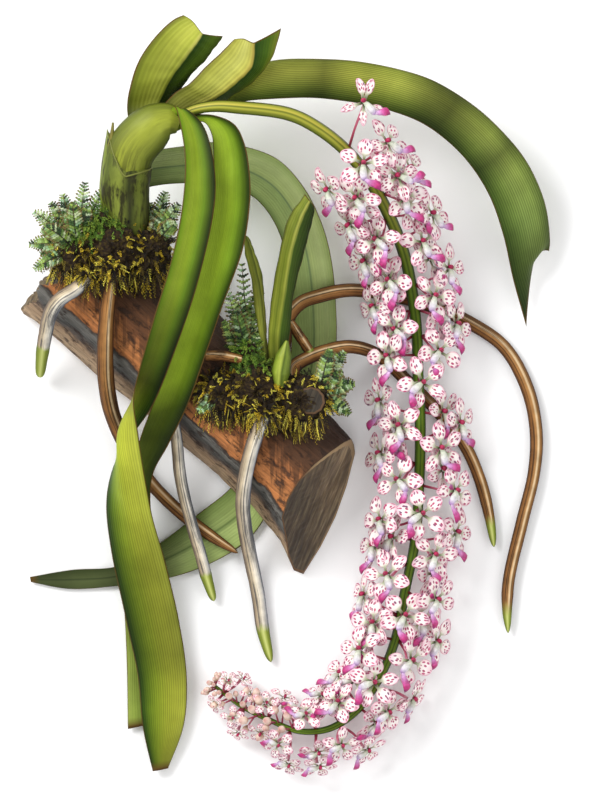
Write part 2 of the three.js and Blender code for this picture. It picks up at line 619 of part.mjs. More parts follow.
function bloomSolid(matrix, size) {
  const scaled = matrix.clone().scale(new THREE.Vector3(size, size, Math.max(size, 0.8)));
  return toSolid(BLOOM.points.map((point) => point.clone().applyMatrix4(scaled)), BLOOM.triangles);
}
function thinStalk(from, to, radius) {
  const along = to.clone().sub(from).normalize();
  const side = along.clone().cross(new THREE.Vector3(0.21, 0.37, 0.9)).normalize();
  const other = along.clone().cross(side).normalize();
  const ring = (centre) => [0, 1, 2].map((step) => centre.clone()
    .addScaledVector(side, Math.cos(step * THIRD_TURN) * radius)
    .addScaledVector(other, Math.sin(step * THIRD_TURN) * radius));
  return skin([ring(from), ring(to)]);
}

// Flowers stand in pairs on the two sides of the stalk, then one by one where there is still room.
// Each is turned until it clears its neighbours
const stalkLine = smoothLine(stalkRows);
stalkLine.arcLengthDivisions = 600;
const stalkLength = stalkLine.getLength();
const stillThere = [logSolid(CLEARANCE), ...rootsClear, ...taken, stalkClear];
const flowers = [];
const UPPER = { angle: 41, shift: 6.3, reach: UPPER_REACH, face: 0.7 };
const LOWER = { angle: 84, shift: -6.3, reach: LOWER_REACH, face: 0.66 };
const TOP = { angle: 6, shift: 0, reach: UPPER_REACH + 1.5, face: 1 };
const SIDE = { angle: 66, shift: 0, reach: LOWER_REACH, face: 0.7 };
const SLANT = { angle: 34, shift: 0, reach: UPPER_REACH + 1, face: 0.8 };
const SINGLES = [[1, TOP], [1, SIDE], [-1, SIDE], [-1, TOP], [1, SLANT], [-1, SLANT]];
const CROWN = { angle: 58, shift: -9, reach: 29, face: 0.4 };
const CROWN_AT = 93;
function flowersAt(distance, side, size, stands, { raise, turn, lean }) {
  const t = distance / stalkLength;
  const centre = stalkLine.getPointAt(t);
  const along = stalkLine.getTangentAt(t);
  const up = new THREE.Vector3(0, 0, 1);
  const across = up.clone().cross(along).normalize().multiplyScalar(side);
  const outAt = (degrees) => across.clone().multiplyScalar(Math.sin(THREE.MathUtils.degToRad(degrees)))
    .addScaledVector(up, Math.cos(THREE.MathUtils.degToRad(degrees)));
  const radius = between(stalkRadii, stalkLine.getUtoTmapping(t));
  const footAngle = stands.length > 1 ? FOOT_ANGLE : stands[0].angle + raise;
  const foot = centre.clone().addScaledVector(outAt(footAngle), radius + FOOT_GAP);
  let blocked = false;
  const bodies = stands.flatMap(({ angle, shift, reach, face }) => {
    const heart = centre.clone().addScaledVector(outAt(angle + raise), reach * (0.6 + 0.4 * size))
      .addScaledVector(along, (shift + turn * 2) * size);
    const facing = outAt((angle + raise) * face + lean).normalize();
    const dorsal = along.clone().multiplyScalar(-1).addScaledVector(across, DORSAL_LEAN + turn);
    const right = dorsal.cross(facing).normalize();
    const matrix = new THREE.Matrix4().makeBasis(right, facing.clone().cross(right).normalize(), facing)
      .setPosition(heart);
    const root = new THREE.Vector3(0, -1 * size, -2 * size).applyMatrix4(matrix);
    const bloom = bloomSolid(matrix, size);
    blocked = blocked || bloom.intersect(stalkClear).volume() > 0;
    return [bloom, thinStalk(foot, root, PEDICEL_RADIUS)];
  });
  return blocked ? null : joined(bodies).subtract(stalkClear);
}
const TURNS = [[0, 0, 0], [0, 0.5, 0], [0, -0.5, 0], [-12, 0, 0], [12, 0, 0], [-12, 0.6, 8],
  [12, -0.6, -8], [-18, 0.3, 6], [-22, -0.4, 0], [0, 1, 0], [0, -1, 0], [-26, 0, 0], [-26, 0.8, 6],
  [-26, -0.8, 6], [8, 0.9, 12]].map(([raise, turn, lean]) => ({ raise, turn, lean }));
function fits(body) {
  if (body === null || body.boundingBox().min[2] < LOWEST || body.decompose().length !== 1) {
    return false;
  }
  if ([...flowers, ...stillThere].some((other) => other.intersect(body).volume() > 0)) {
    return false;
  }
  return flowers.every((other) => other.minGap(body, CLEARANCE) >= CLEARANCE * 0.9);
}
function tryFlowers(distance, side, stands) {
  const share = Math.max(0, (distance - SHRINK_FROM) / (LAST_FLOWER - SHRINK_FROM));
  const size = 1 - share * (1 - SMALLEST_BLOOM);
  const found = TURNS.map((options) => flowersAt(distance, side, size, stands, options)).find(fits);
  if (found) {
    flowers.push(found);
  }
}
tryFlowers(CROWN_AT, 1, [CROWN]);
let pairSide = -1;
for (let distance = FIRST_FLOWER; distance < LAST_FLOWER; distance += BLOOM_STEP / 2) {
  tryFlowers(distance, pairSide, [UPPER, LOWER]);
  pairSide = -pairSide;
}
for (let distance = FIRST_FLOWER - 8; distance < LAST_FLOWER && flowers.length < MOST_FLOWER_NODES;
  distance += BLOOM_STEP / 4.3) {
  SINGLES.forEach(([side, stand]) => {
    if (flowers.length < MOST_FLOWER_NODES) {
      tryFlowers(distance, side, [stand]);
    }
  });
}

// Colours of the pieces
const BARK = 0x6b4426;
const MOSS = 0x7f7a24;
const LEAF_GREEN = 0x86a52c;
const LEAF_PALE = 0xa9ad3a;
const LEAF_GREY = 0x6f9368;
const ROOT_GREY = 0xa9a596;
const ROOT_BROWN = 0x85552f;
const STALK_GREEN = 0x9aa437;
const PETAL_PINK = 0xf0d9de;

place('log', BARK, log, 0.9);
place('main_stem', LEAF_PALE, stem);
leafOrder.forEach((name) => {
  const colour = name.startsWith('short') ? LEAF_PALE : name === 'leaf_behind' ? LEAF_GREY : LEAF_GREEN;
  place(name, colour, leaves[name]);
});
place('young_bud', LEAF_PALE, youngBud());
rootNames.forEach((name) => {
  place(name, name.startsWith('grey') ? ROOT_GREY : ROOT_BROWN, roots[name], 0.85);
});
const upperFerns = [...fernSolids('upper_left'), ...fernSolids('upper_right')];
const lowerFerns = [...fernSolids('behind'), ...fernSolids('lower_left'), ...fernSolids('lower_right')];
place('moss_and_ferns_upper', MOSS, cutClear(joined([upperMoss, ...upperFerns]), around), 0.95);
place('moss_and_ferns_lower', MOSS, cutClear(joined([lowerMoss, ...lowerFerns]), around), 0.95);
place('flower_stalk', STALK_GREEN, stalkBody);
flowers.forEach((body, index) => place(`flowers_${String(index + 1).padStart(2, '0')}`, PETAL_PINK, body));

export default plant;
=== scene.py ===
import math
import bpy
import numpy as np
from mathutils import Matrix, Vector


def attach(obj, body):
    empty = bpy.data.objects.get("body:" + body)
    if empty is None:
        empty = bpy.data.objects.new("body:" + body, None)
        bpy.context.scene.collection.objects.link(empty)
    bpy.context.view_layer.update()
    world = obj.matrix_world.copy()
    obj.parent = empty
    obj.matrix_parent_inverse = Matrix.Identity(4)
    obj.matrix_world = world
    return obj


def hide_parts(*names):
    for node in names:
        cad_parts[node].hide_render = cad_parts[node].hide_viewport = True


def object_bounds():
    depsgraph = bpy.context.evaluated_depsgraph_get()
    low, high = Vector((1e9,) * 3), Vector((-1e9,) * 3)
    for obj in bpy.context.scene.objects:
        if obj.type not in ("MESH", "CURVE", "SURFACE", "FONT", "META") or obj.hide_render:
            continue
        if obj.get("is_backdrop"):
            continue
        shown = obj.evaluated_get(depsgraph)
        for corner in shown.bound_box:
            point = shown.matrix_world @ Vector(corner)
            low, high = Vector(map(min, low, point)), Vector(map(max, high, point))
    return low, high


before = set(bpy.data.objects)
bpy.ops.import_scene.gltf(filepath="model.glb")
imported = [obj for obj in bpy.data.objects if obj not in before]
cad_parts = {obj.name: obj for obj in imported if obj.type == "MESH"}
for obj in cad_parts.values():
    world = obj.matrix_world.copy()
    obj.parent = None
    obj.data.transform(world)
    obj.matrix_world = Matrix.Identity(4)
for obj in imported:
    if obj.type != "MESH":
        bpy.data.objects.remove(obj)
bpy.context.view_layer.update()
print("frame loaded")

rng = np.random.default_rng(20417)  # one seed, so that each run is the same
mm = 0.001  # metres
gridZero, gridStep = (162, 352), 0.5 * mm  # where the drawing grid has its origin, and how wide a step is
upward = np.array([0, 0, 1.0])


def toLinear(hexColour):
    # sRGB hex to the linear colour that the nodes take
    parts = [int(hexColour[i:i + 2], 16) / 255 for i in (0, 2, 4)]
    return [p / 12.92 if p <= 0.04045 else ((p + 0.055) / 1.055) ** 2.4 for p in parts] + [1.0]


def addNode(tree, kind, values=None):
    # adds a node and sets its settings and inputs; an input is a number or the socket that feeds it
    made = tree.nodes.new("ShaderNode" + kind)
    for key, value in (values or {}).items():
        if isinstance(value, bpy.types.NodeSocket):
            tree.links.new(value, made.inputs[key])
        elif key == "stops":
            colours = made.color_ramp.elements
            while len(colours) < len(value):
                colours.new(0.99)
            for element, (place, hexColour) in zip(colours, value):
                element.position = place
                element.color = toLinear(hexColour)
        elif isinstance(key, str) and hasattr(made, key):
            setattr(made, key, value)
        else:
            made.inputs[key].default_value = value
    return made


def ramp(tree, source, stops):
    # colours along a socket's 0 to 1
    return addNode(tree, "ValToRGB", {"stops": stops, 0: source}).outputs[0]


def ranged(tree, source, low=0.0, high=1.0, first=0.0, last=1.0):
    # low to high becomes first to last, and holds there outside
    return addNode(tree, "MapRange", {1: low, 2: high, 3: first, 4: last, 0: source}).outputs[0]


def calc(tree, operation, *terms):
    # one sum on numbers and sockets
    return addNode(tree, "Math", {"operation": operation, **dict(enumerate(terms))}).outputs[0]


def laidOver(tree, under, over, share):
    # one colour over another by a share from 0 to 1, the upper one as sRGB hex or a socket
    over = toLinear(over) if isinstance(over, str) else over
    return addNode(tree, "Mix", {"data_type": "RGBA", 0: share, 6: under, 7: over}).outputs[2]


def multiplied(tree, colour, tone, share=1.0):
    # a colour times a tone, which is sRGB hex or a socket
    tone = toLinear(tone) if isinstance(tone, str) else tone
    return addNode(tree, "Mix", {"data_type": "RGBA", "blend_type": "MULTIPLY", 0: share, 6: colour,
                                 7: tone}).outputs[2]


def noiseAt(tree, vector, scale, detail, roughness=0.5, distortion=0.0):
    return addNode(tree, "TexNoise", {"Scale": scale, "Detail": detail, "Roughness": roughness,
                                      "Distortion": distortion, "Vector": vector}).outputs[0]


def stretched(tree, vector, scale=(1, 1, 1), degrees=0.0):
    # texture place, turned in the plane of the table or squeezed
    return addNode(tree, "Mapping", {"Rotation": (0, 0, math.radians(degrees)), "Scale": scale,
                                     "Vector": vector}).outputs[0]


def coated(made, colour, height=None, strength=0.0, distance=0.0):
    # gives the shader its colour and, from a height, its bump with a depth in metres
    tree = made.node_tree
    shader = tree.nodes["Principled BSDF"]
    tree.links.new(colour, shader.inputs["Base Color"])
    if height is not None:
        bump = addNode(tree, "Bump", {"Strength": strength, "Distance": distance, "Height": height})
        tree.links.new(bump.outputs[0], shader.inputs["Normal"])
    return made


def newMaterial(name, roughness, ior=1.45, coat=0.0, specular=0.5):
    # an empty material, its tree, and the sockets for a place in space and for a place on the surface
    made = bpy.data.materials.new(name)
    made.use_nodes = True
    tree = made.node_tree
    shader = tree.nodes["Principled BSDF"]
    shader.inputs["Roughness"].default_value = roughness
    shader.inputs["IOR"].default_value = ior
    shader.inputs["Coat Weight"].default_value = coat
    shader.inputs["Coat Roughness"].default_value = 0.3
    shader.inputs["Specular IOR Level"].default_value = specular
    place = addNode(tree, "TexCoord").outputs["Object"]
    surface = addNode(tree, "UVMap", {"uv_map": "surface"}).outputs[0]
    return made, tree, place, surface


def unit(v):
    return v / np.maximum(np.linalg.norm(v, axis=-1, keepdims=True), 1e-12)


def onGrid(rows):
    # drawing grid of half millimetres, x right and y down, heights in mm, to metres
    rows = np.asarray(rows, float)
    return np.stack([(rows[..., 0] - gridZero[0]) * gridStep, (gridZero[1] - rows[..., 1]) * gridStep,
                     rows[..., 2] * mm], -1)


def curveAt(points, t):
    # centripetal Catmull-Rom curve through all points, t running evenly from point to point
    p = np.vstack([2 * points[0] - points[1], points, 2 * points[-1] - points[-2]])
    place = np.clip(t, 0, 1) * (len(points) - 1)
    low = np.minimum(place.astype(int), len(points) - 2)
    f = (place - low)[..., None]
    p0, p1, p2, p3 = p[low], p[low + 1], p[low + 2], p[low + 3]
    d0, d1, d2 = [np.sqrt(np.linalg.norm(b - a, axis=-1))[..., None] for a, b in ((p0, p1), (p1, p2), (p2, p3))]
    m1 = ((p1 - p0) / d0 - (p2 - p0) / (d0 + d1) + (p2 - p1) / d1) * d1
    m2 = ((p2 - p1) / d1 - (p3 - p1) / (d1 + d2) + (p3 - p2) / d2) * d1
    return p1 + m1 * f + (3 * p2 - 3 * p1 - 2 * m1 - m2) * f ** 2 + (2 * p1 - 2 * p2 + m1 + m2) * f ** 3


def listAt(values, t):
    return np.interp(np.clip(t, 0, 1) * (len(values) - 1), np.arange(len(values)), values)


def skin(rings, along=None, around=None, tint=0.0, mark=0, cap="fan"):
    # rings of points (copies, stations, points round, 3) joined into closed shells
    rings = np.asarray(rings, float)
    if rings.ndim == 3:
        rings = rings[None]
    copies, n, m = rings.shape[:3]
    along = np.linspace(0, 1, n) if along is None else along
    around = np.linspace(0, 1, m + 1) if around is None else around
    shift = np.arange(copies)[:, None, None] * n * m
    i, j = np.meshgrid(np.arange(n - 1), np.arange(m), indexing="ij")
    a, b = i * m + j, i * m + (j + 1) % m
    quads = np.stack([a, b, b + m, a + m], -1).reshape(1, -1, 4) + shift
    quadUv = np.stack([np.stack([around[j], along[i]], -1), np.stack([around[j + 1], along[i]], -1),
                       np.stack([around[j + 1], along[i + 1]], -1), np.stack([around[j], along[i + 1]], -1)], -2)
    quadUv = np.broadcast_to(quadUv.reshape(1, -1, 4, 2), (copies, (n - 1) * m, 4, 2))
    points = rings.reshape(-1, 3)
    tint = np.broadcast_to(np.asarray(tint, float).reshape(-1, 1, 1), (copies, n, m)).reshape(-1)
    tris, triUv = np.zeros((0, 3), int), np.zeros((0, 3, 2))
    if cap == "fan":
        ends = np.concatenate([rings[:, 0].mean(1), rings[:, -1].mean(1)])
        k = np.arange(m)
        first = shift[:, :, 0] + k
        firstNext = shift[:, :, 0] + (k + 1) % m
        middle = np.broadcast_to((len(points) + np.arange(copies))[:, None], first.shape)
        lastShift = (n - 1) * m
        tris = np.concatenate([
            np.stack([middle, firstNext, first], -1).reshape(-1, 3),
            np.stack([middle + copies, first + lastShift, firstNext + lastShift], -1).reshape(-1, 3)])
        side = np.stack([around[:-1], around[1:]], -1)
        startUv = np.stack([np.stack([side.mean(1), side[:, 1], side[:, 0]], -1), np.full((m, 3), along[0])], -1)
        endUv = np.stack([np.stack([side.mean(1), side[:, 0], side[:, 1]], -1), np.full((m, 3), along[-1])], -1)
        triUv = np.concatenate([np.tile(startUv, (copies, 1, 1)), np.tile(endUv, (copies, 1, 1))])
        points = np.concatenate([points, ends])
        tint = np.concatenate([tint, tint[:copies * n * m:n * m], tint[:copies * n * m:n * m]])
    else:  # a flat ring is zipped: its upper row to its lower row
        c = m // 2
        k = np.arange(c - 1)
        zipped = np.stack([k + 1, k, m - 1 - k, m - 2 - k], -1)
        zipUv = np.stack([around[k + 1], around[k], around[k], around[k + 1]], -1)
        both = np.concatenate([zipped, zipped[:, ::-1] + (n - 1) * m])
        bothUv = np.concatenate([np.stack([zipUv, np.full_like(zipUv, along[0])], -1),
                                 np.stack([zipUv[:, ::-1], np.full_like(zipUv, along[-1])], -1)])
        quads = np.concatenate([quads, both[None] + shift], 1)
        quadUv = np.concatenate([quadUv, np.broadcast_to(bothUv[None], (copies,) + bothUv.shape)], 1)
    quads, quadUv = quads.reshape(-1, 4), quadUv.reshape(-1, 4, 2)
    middle = points.mean(0)
    q = points[quads] - middle
    volume = np.einsum("ij,ij->i", q[:, 0], np.cross(q[:, 1], q[:, 2]) + np.cross(q[:, 2], q[:, 3])).sum()
    if volume < 0:
        quads, quadUv, tris, triUv = quads[:, ::-1], quadUv[:, ::-1], tris[:, ::-1], triUv[:, ::-1]
    return {"points": points, "quads": quads, "quadUv": quadUv, "tris": tris, "triUv": triUv, "tint": tint,
            "mark": mark}


def addPiece(name, shapes, materials, nodes):
    # joins shapes into one object that stands for CAD nodes and rides on the root
    points, loops, uv, starts, marks, tint = [], [], [], [], [], []
    shift, corner = 0, 0
    for shape in shapes:
        for faces, faceUv in ((shape["quads"], shape["quadUv"]), (shape["tris"], shape["triUv"])):
            count, size = faces.shape
            loops.append((faces + shift).ravel())
            uv.append(faceUv.reshape(-1, 2))
            starts.append(corner + np.arange(count) * size)
            marks.append(np.full(count, shape["mark"]))
            corner += count * size
        points.append(shape["points"])
        tint.append(shape["tint"])
        shift += len(shape["points"])
    points, loops, uv, starts = (np.concatenate(x) for x in (points, loops, uv, starts))
    mesh = bpy.data.meshes.new(name)
    mesh.vertices.add(len(points))
    mesh.vertices.foreach_set("co", points.ravel())
    mesh.loops.add(len(loops))
    mesh.loops.foreach_set("vertex_index", loops)
    mesh.polygons.add(len(starts))
    mesh.polygons.foreach_set("loop_start", starts)
    mesh.polygons.foreach_set("material_index", np.concatenate(marks))
    mesh.polygons.foreach_set("use_smooth", np.ones(len(starts), bool))
    mesh.uv_layers.new(name="surface").data.foreach_set("uv", uv.ravel())
    mesh.attributes.new("tint", "FLOAT", "POINT").data.foreach_set("value", np.concatenate(tint))
    mesh.update(calc_edges=True)
    for material in materials:
        mesh.materials.append(material)
    made = bpy.data.objects.new(name, mesh)
    bpy.context.scene.collection.objects.link(made)
    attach(made, "root")
    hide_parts(*nodes)
    print(name, len(mesh.loops) - 2 * len(mesh.polygons), "triangles")
    return made


def tubeRings(points, radii, stations=60, sides=20, flat=1.0, ribs=0, ribHeight=0.0, blunt=0.0, rough=0.0):
    # rings across a curve: the angle starts at the underside, ribs stand out by a cosine, rough makes the radius
    # uneven, blunt is the share of the length over which the far end rounds off
    t = np.linspace(0, 1, stations)
    centre = curveAt(points, t)
    along = unit(np.gradient(centre, axis=0))
    across = unit(np.cross([0, 0, 1], along))
    up = np.cross(along, across)
    angle = (np.linspace(0, 1, sides, endpoint=False) * 2 * np.pi - np.pi / 2)[None, :]
    radius = listAt(radii, t)[:, None] * mm
    if blunt:
        radius = radius * np.sqrt(np.clip(1 - np.clip((t[:, None] - 1 + blunt) / blunt, 0, 0.995) ** 2, 0, 1))
    swell = 1 + ribHeight * np.cos(ribs * angle + 2 * np.sin(t[:, None] * 9)) if ribs else 1.0
    swell = swell + rough * np.sin(t[:, None] * 47 + angle * 2) * np.sin(t[:, None] * 23 + 1.3)
    return (centre[:, None] + across[:, None] * (np.cos(angle) * radius * swell)[..., None]
            + up[:, None] * (np.sin(angle) * radius * swell * flat)[..., None])


leafRows = {
    "front_leaf_turned": {
        "left": [[171, 113, 61], [176, 108, 67], [181, 124, 71], [185, 150, 76], [185, 185, 79],
                 [181, 220, 80], [170, 270, 78], [155, 320, 72], [141, 368, 63], [134, 402, 57],
                 [139, 436, 50], [146, 480, 38], [153, 517, 28], [165, 560, 19], [179, 620, 12], [187, 678, 9],
                 [184, 725, 7], [168, 768, 4]],
        "right": [[176, 122, 60], [186, 111, 67], [202, 124, 69], [212, 150, 73], [216, 185, 76],
                  [213, 220, 77], [197, 288, 74], [180, 340, 67], [165, 380, 58], [152, 408, 48],
                  [134, 434, 36], [114, 468, 28], [107, 500, 22], [111, 550, 14], [125, 615, 10],
                  [138, 675, 8], [143, 725, 6], [153, 771, 4]],
        "keel": [0.5, 1, 2, 3, 3, 3, 3, 3, 4, 7, 9, 7, 4, 3, 3, 3, 2.5, 1.5]},
    "front_leaf_beside": {
        "left": [[176, 133, 57], [203, 123, 61], [212, 135, 64], [214, 160, 66], [213, 190, 68],
                 [208, 230, 67], [193, 290, 64], [178, 340, 58], [163, 380, 47], [150, 412, 38],
                 [140, 440, 28], [131, 480, 18], [125, 520, 12], [122, 570, 7.5], [125, 620, 5], [127, 670, 4],
                 [128, 729, 3]],
        "right": [[176, 117, 57], [216, 117, 64], [235, 126, 68], [245, 145, 71], [249, 172, 74],
                  [250, 202, 75], [243, 250, 74], [226, 300, 69], [208, 350, 61], [190, 400, 51],
                  [168, 444, 36], [152, 478, 22], [152, 522, 13], [162, 575, 8], [168, 630, 5.5],
                  [170, 685, 4.5], [160, 722, 4]],
        "keel": [0.5, 1, 2.5, 3.5, 4, 4, 4, 4, 4, 4, 4, 3, 2, 1.5, 1.2, 1, 0.8]},
    "long_leaf_right": {
        "left": [[168, 108, 55], [197, 92, 44], [232, 74, 45], [271, 62, 46], [312, 60, 46], [354, 63, 46],
                 [399, 71, 44], [438, 84, 41], [474, 107, 37], [505, 136, 32], [529, 168, 26], [544, 202, 19],
                 [550, 236, 12], [549, 251, 7]],
        "right": [[170, 124, 55], [205, 114, 45], [238, 104, 46], [272, 100, 48], [312, 99, 49],
                  [349, 103, 49], [386, 111, 48], [419, 123, 45], [446, 141, 41], [470, 166, 36],
                  [489, 197, 29], [503, 236, 21], [513, 280, 12], [526, 327, 5]],
        "keel": [0.5, 1, 2, 3, 3, 3, 3, 3, 3, 3, 3, 2.5, 2, 1],
        "keelEnd": [533, 264, 7]},
    "leaf_behind": {
        "left": [[148, 152, 30], [170, 149, 31], [184, 147, 31], [215, 143, 31], [245, 147, 31],
                 [278, 160, 30], [304, 188, 28], [322, 225, 22], [332, 265, 16], [336, 310, 11], [336, 350, 7],
                 [328, 395, 4], [308, 440, 3.2], [280, 490, 3.2], [250, 538, 3], [205, 566, 2.8],
                 [160, 580, 2.6], [118, 586, 2.6], [70, 589, 2.4], [31, 582, 2]],
        "right": [[136, 190, 28], [158, 186, 29], [184, 184, 29], [215, 184, 29], [250, 195, 29],
                  [268, 212, 27], [280, 235, 25], [286, 262, 18], [289, 288, 13.5], [291, 318, 9.5],
                  [291, 350, 6.5], [284, 385, 3.8], [268, 420, 3.2], [248, 458, 3.2], [232, 486, 3],
                  [198, 514, 2.8], [158, 544, 2.6], [118, 566, 2.6], [72, 570, 2.4], [30, 577, 2]],
        "keel": [2, 3, 3, 3, 3, 3, 3, 3, 2.5, 2, 1.5, 0.8, 0.4, 0.4, 0.4, 0.6, 0.8, 0.8, 0.6, 0.2]},
    "short_leaf_up": {
        "left": [[136, 142, 54], [128, 112, 50], [131, 88, 56], [140, 62, 62], [157, 38, 67], [176, 21, 70],
                 [189, 16, 71]],
        "middle": [[150, 130, 55], [161, 100, 52], [173, 77, 59], [183, 64, 64], [192, 52, 69], [198, 44, 71],
                   [203, 36, 72]],
        "right": [[160, 128, 53], [173, 101, 47], [185, 85, 51], [197, 71, 57], [208, 59, 61], [216, 49, 63],
                  [223, 38, 65]]},
    "short_leaf_right": {
        "left": [[156, 116, 57], [174, 96, 56], [190, 85, 59], [207, 68, 62], [225, 51, 65], [239, 37, 67]],
        "middle": [[170, 124, 57], [202, 106, 54], [222, 95, 57], [238, 82, 59], [251, 68, 62], [254, 45, 65]],
        "right": [[176, 128, 55], [210, 108, 49], [230, 99, 49], [250, 85, 51], [270, 64, 54], [281, 30, 58]]},
    "young_leaf_broad": {
        "left": [[271, 368, 44], [268, 340, 47], [272, 300, 50], [280, 250, 52], [291, 215, 54],
                 [305, 195, 55]],
        "middle": [[280, 368, 48], [279, 340, 51], [284, 300, 54], [292, 250, 57], [302, 218, 58],
                   [310, 202, 58]],
        "right": [[289, 368, 44], [289, 340, 46], [292, 308, 47], [301, 262, 49], [310, 232, 51],
                  [314, 208, 53]]},
    "young_leaf_narrow": {
        "left": [[263, 362, 42], [258, 330, 44], [253, 290, 46], [246, 254, 48], [243, 237, 49]],
        "middle": [[267, 360, 45], [263, 330, 47], [259, 290, 49], [250, 252, 51], [245, 236, 51]],
        "right": [[270, 360, 41], [266, 330, 43], [264, 290, 45], [257, 258, 47], [248, 238, 48]]},
}

